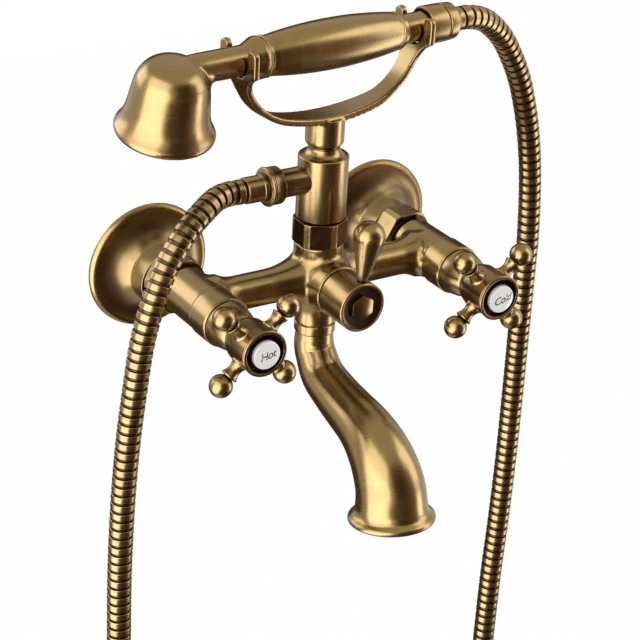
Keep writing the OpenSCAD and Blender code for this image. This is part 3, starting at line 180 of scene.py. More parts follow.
class MixerFinish(bpy.types.PropertyGroup):
    """Colours of the finishes."""

    brass: colour("Brass", "Brushed antique brass", (0.240, 0.151, 0.049, 1))
    dark_brass: colour("Dark brass", "Brass of the hubs and unions", (0.205, 0.126, 0.040, 1))
    brown_brass: colour("Brown brass", "Brass of the nipple and the nut over the body",
                        (0.105, 0.055, 0.017, 1))
    # This dark film is patina, and it is also painted shade where the finishes find shelter or a
    # marked recess.
    patina_and_shade: colour("Patina And Shade", "Dark film in the recesses", (0.036, 0.015, 0.005, 1))
    # The bright colour on convex edges and nut corners is partly wear and partly a painted
    # highlight of light caught on them.
    worn_and_lit: colour("Worn and lit brass", "Bare brass on rubbed edges", (0.46, 0.315, 0.15, 1))
    porcelain: colour("Porcelain", "Glaze of the index discs", (0.84, 0.82, 0.78, 1))
    lettering: colour("Lettering", "Fired letters on the index discs", (0.035, 0.03, 0.03, 1))
    rubber: colour("Rubber", "Washers and seals", (0.03, 0.03, 0.03, 1))
    ceramic: colour("Ceramic", "Discs inside the valves", (0.72, 0.72, 0.68, 1))


class MixerStage(bpy.types.PropertyGroup):
    """Camera and backdrop."""

    azimuth: angle("Azimuth", "Turn of the camera about the upright", -33.12)
    elevation: angle("Elevation", "Height angle of the camera", 25)
    roll: angle("Roll", "Turn of the camera about its own axis", -3.01)
    target_reach: length("Target reach", "Distance of the camera's target from the wall", 55)
    distance: length("Distance", "Distance of the camera from its target", 1219)
    focal_px: pixels("Focal length", "Focal length in pixels", 2181)
    frame_px: pixels("Frame", "Side of the picture in pixels", 640)
    shift_right_px: pixels("Shift right", "Sideways framing shift in pixels", 7.5)
    shift_up_px: pixels("Shift up", "Upright framing shift in pixels", -48.1)
    floor_z: length("Floor", "Height of the floor", -2200)
    card: colour("Cards", "Brown cards that shade the metal", (0.10, 0.05, 0.022, 1))


def sizes():
    return bpy.context.scene.mixer_sizes


def finish():
    return bpy.context.scene.mixer_finish


def stage():
    return bpy.context.scene.mixer_stage


# Places. In each, one unit is a millimetre and local z runs along the piece's own axis.
def turn(degrees, axis):
    return Matrix.Rotation(math.radians(degrees), 4, axis)


def shift(x=0, y=0, z=0):
    return Matrix.Translation((x, y, z))


def on_centre():
    s = sizes()
    return shift(0, -s.body_reach, s.axis_height) @ Matrix.Scale(MM, 4)


def on_valve(side):
    s = sizes()
    return (shift(side * s.inlet_pitch / 2, 0, s.axis_height) @ turn(90, "X")
            @ Matrix.Scale(MM, 4))


def on_diverter():
    return on_valve(0)


def on_lever():
    return on_diverter() @ shift(z=101.5) @ turn(LEVER_TURN, "Z") @ turn(-90, "X")


def under_centre():
    return on_centre() @ turn(180, "X")


def on_hose_outlet():
    return on_centre() @ shift(z=sizes().hose_outlet_height / MM) @ turn(-90, "Y")


def on_handset():
    return (on_centre() @ turn(HANDSET_TURN, "Z") @ shift(z=sizes().handset_height / MM)
            @ turn(90, "Y"))


# Outlines, as (radius, station) points in millimetres.
def arc(centre, radius, start, end, steps=10):
    """Points on an arc, between two angles in degrees."""
    turns = [math.radians(start + (end - start) * k / steps) for k in range(steps + 1)]
    return [(centre[0] + radius * math.cos(a), centre[1] + radius * math.sin(a)) for a in turns]


def bow(half, rise):
    """Radius of an arc that rises over a half chord, and its half angle in degrees."""
    radius = (half ** 2 + rise ** 2) / (2 * rise)
    return radius, math.degrees(math.asin(half / radius))


def rounded(corners, steps=4):
    """An outline whose corners (radius, station, rounding) are made arcs."""
    outline = []
    for i, corner in enumerate(corners):
        here = Vector(corner[:2])
        if len(corner) < 3 or i in (0, len(corners) - 1):
            outline.append(tuple(here))
            continue
        back = Vector(corners[i - 1][:2]) - here
        on = Vector(corners[i + 1][:2]) - here
        half = back.angle(on) / 2
        cut = min(corner[2] / math.tan(half), 0.49 * back.length, 0.49 * on.length)
        centre = here + (back.normalized() + on.normalized()).normalized() * (cut / math.cos(half))
        first = here + back.normalized() * cut - centre
        last = here + on.normalized() * cut - centre
        for k in range(steps + 1):
            spoke = first.lerp(last, k / steps).normalized() * first.length
            outline.append(tuple(centre + spoke))
    return outline


# Meshes
def layer(bm, name):
    """The values that a mesh's vertices hold under a name."""
    return bm.verts.layers.float.get(name) or bm.verts.layers.float.new(name)


def moved(bm, place):
    bmesh.ops.transform(bm, matrix=place, verts=bm.verts[:])
    return bm


def welded(bm, distance):
    bmesh.ops.remove_doubles(bm, verts=bm.verts[:], dist=distance)
    return bm


def outward(bm):
    bmesh.ops.recalc_face_normals(bm, faces=bm.faces[:])
    return bm


def bevelled(bm, edges, offset, segments):
    bmesh.ops.bevel(bm, geom=edges, offset=offset, segments=segments, profile=0.5,
                    affect="EDGES", material=-1)


def turned(outline, closed=True, steps=72):
    """A turned piece: its outline, spun about its axis. Its grain runs round the axis."""
    bm = bmesh.new()
    corners = [bm.verts.new((r, 0, z)) for r, z in outline]
    line = [bm.edges.new(pair) for pair in zip(corners, corners[1:])]
    if closed:
        line.append(bm.edges.new((corners[-1], corners[0])))
    bmesh.ops.spin(bm, geom=corners + line, cent=(0, 0, 0), axis=(0, 0, 1), angle=math.tau,
                   steps=steps, use_merge=True)
    outward(welded(bm, 1e-4))
    return with_grain(bm, lambda co: (co.z + math.hypot(co.x, co.y)) * MM)


def with_grain(bm, along):
    """Marks how the brushing runs: along gives a length in metres at a point."""
    grain = layer(bm, "grain")
    for v in bm.verts:
        v[grain] = along(v.co)
    return bm


def with_film_and_shade(bm, film_and_shade):
    """Marks where brown film and painted shade lie on a turned piece: their share at a radius and a
    station.
    """
    recess = layer(bm, "recess")
    for v in bm.verts:
        v[recess] = film_and_shade(math.hypot(v.co.x, v.co.y), v.co.z)
    return bm


def curve_through(points, steps):
    """A smooth line through points, with steps between each two."""
    points = [Vector(p) for p in points]
    line = []
    for i in range(len(points) - 1):
        a, b = points[max(i - 1, 0)], points[i]
        c, d = points[i + 1], points[min(i + 2, len(points) - 1)]
        for k in range(steps):
            t = k / steps
            line.append(0.5 * (2 * b + (c - a) * t + (2 * a - 5 * b + 4 * c - d) * t * t
                               + (3 * b - a - 3 * c + d) * t ** 3))
    return line + [points[-1]]


def headings(line):
    last = len(line) - 1
    return [(line[min(i + 1, last)] - line[max(i - 1, 0)]).normalized() for i in range(last + 1)]


def even_line(line, spacing):
    """The same line with its points at equal distances, and its length."""
    runs = [0.0]
    for a, b in zip(line, line[1:]):
        runs.append(runs[-1] + (b - a).length)
    count = max(1, round(runs[-1] / spacing))
    even, i = [], 0
    for k in range(count + 1):
        at = runs[-1] * k / count
        while i < len(runs) - 2 and runs[i + 1] < at:
            i += 1
        even.append(line[i].lerp(line[i + 1], (at - runs[i]) / (runs[i + 1] - runs[i])))
    return even, runs[-1]


def ring_place(centre, heading, radius, across):
    u = heading.cross(across).normalized()
    v = heading.cross(u)
    place = Matrix((u * radius, v * radius, heading)).transposed().to_4x4()
    place.translation = centre
    return place


def swept(rings, across, sides, marks=None):
    """A tube over rings (centre, heading, radius): one ring, extruded from place to place."""
    bm = bmesh.new()
    grain, recess = layer(bm, "grain"), layer(bm, "recess")
    ring = bmesh.ops.create_circle(bm, segments=sides, radius=1)["verts"]
    edges = bm.edges[:]
    place, run = Matrix.Identity(4), 0.0
    for i, (centre, heading, radius) in enumerate(rings):
        if i:
            made = bmesh.ops.extrude_edge_only(bm, edges=edges)["geom"]
            ring = [g for g in made if isinstance(g, bmesh.types.BMVert)]
            inside = set(ring)
            edges = [g for g in made if isinstance(g, bmesh.types.BMEdge)
                     and g.verts[0] in inside and g.verts[1] in inside]
            run += (Vector(centre) - Vector(rings[i - 1][0])).length
        target = ring_place(Vector(centre), heading, radius, across)
        bmesh.ops.transform(bm, matrix=target @ place.inverted(), verts=ring)
        place = target
        for v in ring:
            v[grain] = run
            # A ring's mark is its share of dark film, which paints shade into the hose's grooves
            # along with patina.
            v[recess] = marks[i] if marks else 0.0
    return bm


def joined(*parts):
    """Several meshes in one."""
    whole = parts[0]
    for part in parts[1:]:
        extra = bpy.data.meshes.new("extra")
        part.to_mesh(extra)
        part.free()
        whole.from_mesh(extra)
        bpy.data.meshes.remove(extra)
    return whole


def linked(name, data):
    """A new object in the scene."""
    made = bpy.data.objects.new(name, data)
    bpy.context.scene.collection.objects.link(made)
    return made


def as_object(bm, name="blank"):
    """An object of a mesh, which is used up."""
    mesh = bpy.data.meshes.new(name)
    bm.to_mesh(mesh)
    bm.free()
    return linked(name, mesh)


def applied(blank):
    """The mesh of an object with its modifiers applied; the object is used up."""
    graph = bpy.context.evaluated_depsgraph_get()
    done = bpy.data.meshes.new_from_object(blank.evaluated_get(graph))
    bm = bmesh.new()
    bm.from_mesh(done)
    bpy.data.meshes.remove(done)
    data = blank.data
    bpy.data.objects.remove(blank)
    home = bpy.data.curves if isinstance(data, bpy.types.Curve) else bpy.data.meshes
    home.remove(data)
    return bm


def node_shell(node):
    """A merged copy of a node's mesh."""
    shell = bmesh.new()
    shell.from_mesh(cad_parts[node].data)
    return welded(shell, 1e-6)


def smoothing(blank, name, passes):
    ease = blank.modifiers.new(name, "SMOOTH")
    ease.factor, ease.iterations = 0.5, passes
    return ease


def cast_skin(shell, grid, passes, corners=(), reach=0.0):
    """A cast piece: a shell's skin on a fine grid, eased, with fillets in the hollow corners.

    corners are boxes (low, high) in metres that hold the corners to be filled.
    """
    hollow_lift, fade, passes_per_ring = 0.07 * grid, 0.7, 3
    blank = as_object(shell)
    skin = blank.modifiers.new("Cast skin", "REMESH")
    skin.mode = "VOXEL"
    skin.voxel_size = grid
    smoothing(blank, "Ease", passes)
    bm = applied(blank)
    if not corners:
        return bm
    bm.normal_update()
    hollow = {}
    for v in bm.verts:
        if any(all(low[k] <= v.co[k] <= high[k] for k in range(3)) for low, high in corners):
            lift = sum((e.other_vert(v).co - v.co).dot(v.normal) for e in v.link_edges)
            if lift / len(v.link_edges) > hollow_lift:
                hollow[v] = 1.0
    rings = round(reach / grid)
    edge = set(hollow)
    for ring in range(rings):
        edge = {e.other_vert(v) for v in edge for e in v.link_edges} - set(hollow)
        hollow.update({v: 1.0 - fade * (ring + 1) / rings for v in edge})
    bm.verts.index_update()
    weights = {v.index: weight for v, weight in hollow.items()}
    blank = as_object(bm)
    group = blank.vertex_groups.new(name="corners")
    for index, weight in weights.items():
        group.add([index], weight, "REPLACE")
    smoothing(blank, "Fillets", passes_per_ring * rings ** 2).vertex_group = group.name
    return applied(blank)


def sharp_edges(bm):
    return [e for e in bm.edges if e.is_manifold and e.calc_face_angle() > math.radians(25)]


def eased_nut(node, axis, corner, edge):
    """A copy of a hexagon nut, its corners rounded along its axis and its other edges broken.

    It is marked flat-sided, so that only its corners get the bright colour, which is partly wear
    and partly a painted highlight.
    """
    bm = node_shell(node)
    bmesh.ops.dissolve_limit(bm, angle_limit=math.radians(1), verts=bm.verts[:], edges=bm.edges[:])
    along = [e for e in sharp_edges(bm)
             if abs((e.verts[1].co - e.verts[0].co).normalized().dot(axis)) > 0.99]
    bevelled(bm, along, corner, 10)
    bevelled(bm, sharp_edges(bm), edge, 2)
    rubbed_and_lit, flat_sided = layer(bm, "edge"), layer(bm, "flat_sided")
    spans = [[v.co[k] for v in bm.verts] for k in range(3)]
    middle = Vector([(min(span) + max(span)) / 2 for span in spans])
    radii = {v: (v.co - middle).cross(axis).length for v in bm.verts}
    reach, fade = max(radii.values()), 0.15 * corner
    # Painted highlight, partly wear: the rounded corners get the bright edge colour.
    for v in bm.verts:
        v[rubbed_and_lit] = max(0.0, 1.0 - (reach - radii[v]) / fade)
        v[flat_sided] = 1.0
    return with_grain(bm, lambda co: co.y + co.z)


def add_piece(name, bm, body, nodes=(), slot="antique_brass", look=None, sharp=40):
    """Makes a mesh a finished piece that rides on a body and stands for its nodes."""
    piece = as_object(bm, name)
    piece.data.shade_smooth()
    piece.data.set_sharp_from_angle(angle=math.radians(sharp))
    piece.data.materials.append(finish_of(look or slot))
    if body:
        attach(piece, body)
    if nodes:
        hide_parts(*nodes)
    return piece


def turn_piece(name, outline, place, body, node, slot="antique_brass", **spin):
    """A finished piece with a turned outline."""
    return add_piece(name, moved(turned(outline, **spin), place), body, [node], slot)


# Finishes
class Nodes:
    """A node tree, with short ways to add to it."""

    def __init__(self, tree):
        self.tree = tree

    def fill(self, made, inputs):
        """Sets or links a node's inputs."""
        for key, value in inputs.items():
            if isinstance(value, bpy.types.NodeSocket):
                self.tree.links.new(value, made.inputs[key])
            else:
                made.inputs[key].default_value = value
        return made

    def add(self, kind, inputs=None, **settings):
        made = self.tree.nodes.new("ShaderNode" + kind)
        for key, value in settings.items():
            setattr(made, key, value)
        return self.fill(made, inputs or {})

    def math(self, operation, a, b=0.0, c=0.0):
        return self.add("Math", {0: a, 1: b, 2: c}, operation=operation).outputs[0]

    def ramp(self, value, low, high, to_low=0.0, to_high=1.0):
        return self.add("MapRange", {
            "Value": value, "From Min": low, "From Max": high, "To Min": to_low,
            "To Max": to_high}, clamp=True).outputs["Result"]

    def mix(self, factor, a, b, blend="MIX"):
        return self.add("Mix", {0: factor, 6: a, 7: b}, data_type="RGBA",
                        blend_type=blend).outputs[2]

    def grey(self, value):
        return self.add("CombineColor", {0: value, 1: value, 2: value}).outputs[0]

    def place(self):
        return self.add("TexCoord").outputs["Object"]

    def attribute(self, name):
        return self.add("Attribute", attribute_name=name).outputs["Fac"]

    def noise(self, vector, scale, detail, roughness=0.5):
        return self.add("TexNoise", {"Vector": vector, "Scale": scale, "Detail": detail,
                                     "Roughness": roughness}).outputs["Fac"]

    def mixed_surface(self, share, first, second):
        """Shows a mix of two shaders in place of the usual one."""
        self.tree.nodes.remove(self.tree.nodes["Principled BSDF"])
        both = self.add("MixShader", {0: share, 1: first.outputs[0], 2: second.outputs[0]})
        self.fill(self.tree.nodes["Material Output"], {"Surface": both.outputs[0]})


def new_material(name):
    material = bpy.data.materials.new(name)
    material.use_nodes = True
    return material, Nodes(material.node_tree)


def aged_brass_group():
    """Brushing, a dark film of patina and painted shade in recesses, and bare metal on edges
    (partly wear, partly painted highlight), shared by every brass finish.
    """
    found = bpy.data.node_groups.get("Aged brass")
    if found:
        return found
    tree = bpy.data.node_groups.new("Aged brass", "ShaderNodeTree")
    for name, kind in (("Brass", "Color"), ("Patina And Shade", "Color"), ("Worn And Lit", "Color"),
                       ("Patina And Shade Amount", "Float"), ("Wear And Highlight Amount", "Float"), ("Gloss", "Float")):
        tree.interface.new_socket(name=name, in_out="INPUT", socket_type="NodeSocket" + kind)
    for name, kind in (("Colour", "Color"), ("Roughness", "Float"), ("Height", "Float")):
        tree.interface.new_socket(name=name, in_out="OUTPUT", socket_type="NodeSocket" + kind)
    given = tree.nodes.new("NodeGroupInput").outputs
    n = Nodes(tree)
    place = n.place()
    lines = n.add("CombineXYZ", {0: n.math("MULTIPLY", n.attribute("grain"), 1500.0)})
    coarse = n.add("VectorMath", {0: place, "Scale": 34.0}, operation="SCALE")
    brushing = n.add("VectorMath", {0: coarse.outputs[0], 1: lines.outputs[0]}, operation="ADD")
    streaks = n.noise(brushing.outputs[0], 1.0, 3.0, 0.6)
    clouds = n.noise(place, 65.0, 4.0, 0.55)
    specks = n.noise(place, 420.0, 2.0)
    # Painted shade: where ambient occlusion finds shelter, and where a piece marks a recess, the
    # dark film goes on, along with the random patina clouds.
    shelter = n.add("AmbientOcclusion", {"Distance": 0.005}, samples=6).outputs["AO"]
    film_and_shade = n.math("MAXIMUM", n.ramp(shelter, 0.80, 0.28), n.attribute("recess"))
    film_and_shade = n.math("ADD", film_and_shade, n.ramp(clouds, 0.5, 0.8, 0.0, 0.2))
    film_and_shade = n.math("MULTIPLY", film_and_shade, given["Patina And Shade Amount"])
    film_and_shade = n.math("MULTIPLY", film_and_shade, n.ramp(specks, 0.2, 0.6, 0.86, 1.0))
    film_and_shade = n.ramp(film_and_shade, 0.0, 1.0)
    # Painted highlight, partly real wear: convex edges (by pointiness) and marked nut corners get
    # the bright bare-brass colour.
    ridge = n.ramp(n.add("NewGeometry").outputs["Pointiness"], 0.53, 0.62)
    ridge = n.math("SUBTRACT", ridge, n.attribute("flat_sided"))
    rubbed_and_lit = n.math("MAXIMUM", ridge, n.attribute("edge"))
    rubbed_and_lit = n.math("MULTIPLY", rubbed_and_lit, n.ramp(streaks, 0.3, 0.6, 0.7, 1.0))
    rubbed_and_lit = n.math("MULTIPLY", rubbed_and_lit, given["Wear And Highlight Amount"])
    tone = n.grey(n.ramp(streaks, 0.3, 0.7, 0.95, 1.04))
    base = n.mix(1.0, given["Brass"], tone, "MULTIPLY")
    base = n.mix(rubbed_and_lit, base, given["Worn And Lit"])
    base = n.mix(film_and_shade, base, given["Patina And Shade"])
    rough = n.math("ADD", given["Gloss"], n.ramp(streaks, 0.3, 0.7, -0.012, 0.018))
    rough = n.math("ADD", rough, n.ramp(clouds, 0.3, 0.7, -0.02, 0.04))
    rough = n.math("ADD", rough, n.math("MULTIPLY", film_and_shade, 0.14))
    height = n.math("MULTIPLY_ADD", streaks, 0.8, n.math("MULTIPLY", specks, 0.2))
    n.fill(tree.nodes.new("NodeGroupOutput"),
           {"Colour": base, "Roughness": rough, "Height": height})
    return tree


def brass(name, tint, gloss=0.25, patina_and_shade=0.9, wear_and_highlight=0.6, coat=0.22):
    """A brass finish with its own tint, gloss, patina with painted shade, wear with painted
    highlight, and lacquer.
    """
    brush_depth = 0.00003
    material, n = new_material(name)
    aged = n.add("Group", node_tree=aged_brass_group())
    n.fill(aged, {"Brass": tint, "Patina And Shade": finish().patina_and_shade, "Worn And Lit": finish().worn_and_lit,
                  "Patina And Shade Amount": patina_and_shade, "Wear And Highlight Amount": wear_and_highlight, "Gloss": gloss})
    bump = n.add("Bump", {
        "Height": aged.outputs["Height"], "Strength": 0.14, "Distance": brush_depth})
    n.fill(n.tree.nodes["Principled BSDF"], {
        "Metallic": 1.0, "Coat Weight": coat, "Coat Roughness": 0.22,
        "Base Color": aged.outputs["Colour"], "Roughness": aged.outputs["Roughness"],
        "Normal": bump.outputs["Normal"]})
    return material


def mottled(name, tint, roughness, scale, amount, coat=0.0):
    """A plain finish, such as glaze or rubber, with a faint mottle in its colour and gloss."""
    grain_depth = 0.00002
    material, n = new_material(name)
    spots = n.noise(n.place(), scale, 4.0)
    tone = n.grey(n.ramp(spots, 0.3, 0.7, 1.0 - amount, 1.0))
    bump = n.add("Bump", {"Height": spots, "Strength": 0.1, "Distance": grain_depth})
    n.fill(n.tree.nodes["Principled BSDF"], {
        "Coat Weight": coat, "Coat Roughness": 0.05,
        "Base Color": n.mix(1.0, tuple(tint), tone, "MULTIPLY"),
        "Roughness": n.ramp(spots, 0.3, 0.7, roughness, roughness + 0.08),
        "Normal": bump.outputs["Normal"]})
    return material


def finish_of(look):
    """A finish, made at its first use: of a slot of the record, the hose or the letters."""
    f = finish()
    kind, name, *settings = {
        "antique_brass": (brass, "Antique brass", f.brass),
        "dark_brass": (brass, "Dark brass", f.dark_brass, 0.24, 0.8),
        "brown_brass": (brass, "Brown brass", f.brown_brass, 0.22, 1.0, 1.0, 0.08),
        "hose": (brass, "Hose brass", f.brass, 0.26, 0.95),
        "porcelain": (mottled, "White glaze", f.porcelain, 0.12, 300.0, 0.05, 0.5),
        "ceramic": (mottled, "Valve ceramic", f.ceramic, 0.3, 500.0, 0.08),
        "rubber": (mottled, "Seal rubber", f.rubber, 0.55, 900.0, 0.3),
        "lettering": (mottled, "Fired lettering", f.lettering, 0.25, 900.0, 0.3),
    }[look]
    return bpy.data.materials.get(name) or kind(name, *settings)


class Builder:
    """What the operators share: each builds its pieces, then is done."""

    def execute(self, context):
        self.build()
        return {"FINISHED"}


class MIXER_OT_stage(Builder, bpy.types.Operator):
    """Sets up the camera, the lamps, the backdrop and the cards that shade the metal"""

    bl_idname = "mixer.stage"
    bl_label = "Stage"

    lamp_distance = 2.0
    lamp_tint = (0.90, 1.0, 1.25)

    def build(self):
        bpy.context.scene.view_settings.view_transform = "Standard"
        self.camera()
        self.world()
        self.floor()
        self.lamp("Left softbox", -69, -14, (2.9, 2.8), 5.0)
        self.lamp("Upper left softbox", -72, 36, (2.4, 1.1), 3.2)
        self.lamp("Front softbox", 64, 24, (1.2, 1.8), 3.2)
        self.lamp("Right strip", 61, -24, (0.75, 1.4), 4.6)
        self.lamp("Rim softbox", -146, 20, (1.4, 1.1), 3.2)
        shade = self.card_finish("Dark card", 1.0)
        half_shade = self.card_finish("Brown card", 3.2)
        self.card("Front card", 1, -36, 1.4, (2.9, 1.9), shade)
        self.card("Upper card", 6, 19, 1.45, (1.7, 1.5), shade)
        self.card("Right card", 38, 0, 1.4, (0.8, 1.9), half_shade)
        self.card("Low card", 78, -62, 1.4, (2.0, 1.4), shade)
        self.card("Back card", 152, -4, 1.4, (1.7, 2.0), shade)
        self.card("Low back card", -178, -44, 1.4, (2.5, 1.1), shade)

    def target(self):
        return Vector((0, -stage().target_reach, sizes().axis_height))

    def out(self, azimuth, elevation):
        """Direction from the object, in degrees from the front and from level."""
        a, e = math.radians(azimuth), math.radians(elevation)
        return Vector((math.sin(a) * math.cos(e), -math.cos(a) * math.cos(e), math.sin(e)))

    def camera(self):
        view = stage()
        right = Vector((math.cos(view.azimuth), math.sin(view.azimuth), 0))
        back = self.out(math.degrees(view.azimuth), math.degrees(view.elevation))
        up = back.cross(right)
        cr, sr = math.cos(view.roll), math.sin(view.roll)
        data = bpy.data.cameras.new("Camera")
        data.sensor_width = 36
        data.lens = data.sensor_width * view.focal_px / view.frame_px
        data.shift_x = view.shift_right_px / view.frame_px
        data.shift_y = view.shift_up_px / view.frame_px
        camera = linked("Camera", data)
        axes = Matrix((cr * right - sr * up, sr * right + cr * up, back)).transposed()
        spot = self.target() + view.distance * back
        camera.matrix_world = Matrix.Translation(spot) @ axes.to_4x4()
        bpy.context.scene.camera = camera

    def shown(self, n):
        """One for the rays that show the backdrop: seen, mirrored or looked through."""
        path = n.add("LightPath").outputs
        seen = n.math("MAXIMUM", path["Is Camera Ray"], path["Is Glossy Ray"])
        return n.math("MAXIMUM", seen, path["Is Transmission Ray"])

    def world(self):
        world = bpy.data.worlds.new("Studio")
        world.use_nodes = True
        n = Nodes(world.node_tree)
        n.fill(n.tree.nodes["Background"], {
            "Strength": n.ramp(self.shown(n), 0.0, 1.0, 0.95, 1.0), "Color": (1, 1, 1, 1)})
        bpy.context.scene.world = world

    def floor(self):
        material, n = new_material("Floor")
        matte = n.add("BsdfDiffuse", {"Color": (0.85, 0.85, 0.85, 1)})
        white = n.add("Emission", {"Color": (1, 1, 1, 1), "Strength": 1.0})
        n.mixed_surface(n.math("MULTIPLY", self.shown(n), 0.97), matte, white)
        bm = bmesh.new()
        bmesh.ops.create_grid(bm, x_segments=1, y_segments=1, size=6)
        self.set_up("Floor", moved(bm, shift(z=stage().floor_z)), material)

    def set_up(self, name, bm, material):
        thing = as_object(bm, name)
        thing.data.materials.append(material)
        return thing

    def facing(self, azimuth, elevation, distance):
        """Place of a panel that faces the object from a direction."""
        out = self.out(azimuth, elevation)
        aim = out.to_track_quat("Z", "Y").to_matrix().to_4x4()
        return Matrix.Translation(self.target() + distance * out) @ aim

    def lamp(self, name, azimuth, elevation, size, radiance):
        data = bpy.data.lights.new(name, "AREA")
        data.shape = "RECTANGLE"
        data.size, data.size_y = size
        data.energy = radiance * math.pi * size[0] * size[1]
        data.color = self.lamp_tint
        lamp = linked(name, data)
        lamp.matrix_world = self.facing(azimuth, elevation, self.lamp_distance)
        lamp.visible_camera = lamp.visible_diffuse = False

    def card_finish(self, name, strength):
        """A brown card that fades out at its edges."""
        material, n = new_material(name)
        dark = n.add("Emission", {"Color": stage().card, "Strength": strength})
        n.mixed_surface(n.attribute("cover"), n.add("BsdfTransparent"), dark)
        return material

    def card(self, name, azimuth, elevation, distance, size, material):
        fade = 0.12
        bm = bmesh.new()
        bmesh.ops.create_grid(bm, x_segments=16, y_segments=16, size=0.5)
        cover = layer(bm, "cover")
        for v in bm.verts:
            inside = 0.5 - max(abs(v.co.x), abs(v.co.y))
            v[cover] = min(1.0, inside / fade)
        moved(bm, self.facing(azimuth, elevation, distance) @ Matrix.Diagonal((*size, 1, 1)))
        card = self.set_up(name, bm, material)
        card.visible_camera = card.visible_diffuse = card.visible_shadow = False


class MIXER_OT_shower_hose(Builder, bpy.types.Operator):
    """Winds the ribbed hose in its two lengths and turns the fittings at its ends"""

    bl_idname = "mixer.shower_hose"
    bl_label = "Shower hose"

    def build(self):
        end_station, lead, lap = 85, 9, 0.3
        joint = Vector(HOSE_JOINT)
        end = on_handset() @ Vector((0, 0, end_station)) / MM
        way = (on_handset().to_3x3() @ Vector((0, 0, 1))).normalized() * lead
        foot = [
            add_piece("lower_nut_knurled", moved(self.knurled_nut(), on_hose_outlet()), "mixer",
                      ["lower_hose_nut"], "dark_brass", sharp=60),
            turn_piece("lower_ferrule_turned", self.lower_ferrule(), on_hose_outlet(), "mixer",
                       "lower_hose_ferrule")]
        head = [
            turn_piece("upper_nut_turned", self.upper_nut(), on_handset(), "handset",
                       "upper_hose_nut"),
            turn_piece("upper_ferrule_turned", self.upper_ferrule(), on_handset(), "handset",
                       "upper_hose_ferrule", "dark_brass")]
        lower = self.length_of_hose(
            "shower_hose_lower", [HOSE_START] + LOWER_ROUTE + [HOSE_JOINT], "hose_lower", foot)
        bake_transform(lower)
        upper = self.length_of_hose(
            "shower_hose_upper", [tuple(joint + Vector((0, 0, lap)))] + UPPER_ROUTE
            + [end + way, end + way / 2, end], "hose_upper", head)
        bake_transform(upper)

    def length_of_hose(self, name, route, cad_node, fittings):
        s = sizes()
        line = curve_through([Vector(p) * MM for p in route], 8)
        ribs, total = even_line(line, s.rib_pitch)
        path, _ = even_line(line, CORD_SPACING)
        count = len(ribs) - 1
        fine, _ = even_line(line, total / (count * RIB_STEPS))
        rings, marks = [], []
        ways = headings(fine)
        for k in range(count):
            for along, depth in HOSE_RIB:
                at = min(round((k + along) * RIB_STEPS), len(fine) - 1)
                rings.append((fine[at], ways[at], s.hose_d / 2 - depth * s.groove_depth))
                # The groove's depth is also its share of dark film: painted shade in the grooves,
                # and patina.
                marks.append(depth)
        rings.append((fine[-1], ways[-1], s.hose_d / 2 - s.groove_depth))
        marks.append(1.0)
        bm = swept(rings, Vector((0, 1, 0)), 24, marks)
        bmesh.ops.holes_fill(bm, edges=[e for e in bm.edges if e.is_boundary], sides=0)
        hose = add_piece(name, outward(bm), None, [cad_node], "dark_brass", "hose", sharp=50)
        tuple(path[0])
        [tuple(p) for p in path]
        return hose

    def knurled_nut(self):
        """A round nut with a knurled band and a bead beside it."""
        r, columns, knurl_depth = 10.5, 120, 0.45
        outline = (
            rounded([(9.35, 28.3), (r - 0.7, 28.3, 0.2), (r - 0.1, 29.1)])
            + [(r, 29.3), (r, 34.0), (r - 0.1, 34.2), (r - 0.35, 34.5)]
            + arc((r - 0.6, 35.9), 1.05, -75, 75, 8)
            + rounded([(r - 1.2, 37.0), (r - 1.6, 37.2, 0.3), (7.65, 37.2)])
            + [(7.65, 35.6), (9.35, 35.6)])
        bm = turned(outline, steps=columns)
        recess = layer(bm, "recess")
        for v in bm.verts:
            radius = math.hypot(v.co.x, v.co.y)
            if 29.2 < v.co.z < 34.1 and radius > r - 0.05:
                column = round(math.atan2(v.co.y, v.co.x) / (math.tau / columns))
                if column % 2:
                    v.co.x *= 1 - knurl_depth / r
                    v.co.y *= 1 - knurl_depth / r
                # Painted shade in the knurl's valleys (full share), with a lighter share of dark
                # film on its ridges.
                v[recess] = 1.0 if column % 2 else 0.3
        return bm

    def lower_ferrule(self):
        return rounded([
            (4.5, 34), (9.0, 34), (9.0, 35.3), (7.3, 35.3), (7.3, 38.6, 0.2), (7.6, 38.9, 0.3),
            (7.6, 40.0, 0.3), (7.3, 40.3, 0.2), (7.3, 49.2, 0.5), (6.9, 50, 0.3), (4.5, 50)])

    def upper_nut(self):
        return rounded([
            (9.35, 63), (10.2, 63, 0.3), (10.8, 63.7, 0.4), (10.8, 74.3, 0.5), (10.2, 75, 0.3),
            (7.6, 75), (7.6, 72.6), (9.35, 72.6)])

    def upper_ferrule(self):
        return rounded([
            (4.5, 70.5), (9.1, 70.5), (9.1, 72.3), (7.3, 72.3), (7.3, 75.6), (10.1, 75.6, 0.3),
            (10.7, 76.2, 0.4), (10.3, 81.6, 0.6), (9.2, 82.8, 0.5), (7.6, 84.4, 0.3), (7.2, 85),
            (4.5, 85)])


class MIXER_OT_body(Builder, bpy.types.Operator):
    """Casts the body with fillets where its arms meet"""

    bl_idname = "mixer.body"
    bl_label = "Body casting"

    def build(self):
        s = sizes()
        corners = [((-0.042, -0.080, -0.016), (0.042, -0.040, 0.024))]
        for side in SIDES.values():
            x = side * s.inlet_pitch / 2
            corners.append(((x - 0.022, -0.0725, -0.014), (x + 0.022, -0.0475, 0.026)))
        bm = cast_skin(node_shell("body_casting"), s.cast_grid, 4, corners, s.cast_fillet)
        with_grain(bm, lambda co: co.y if abs(co.x) > 0.060 else co.x)
        add_piece("body_skin", bm, "mixer", ["body_casting"], sharp=60)


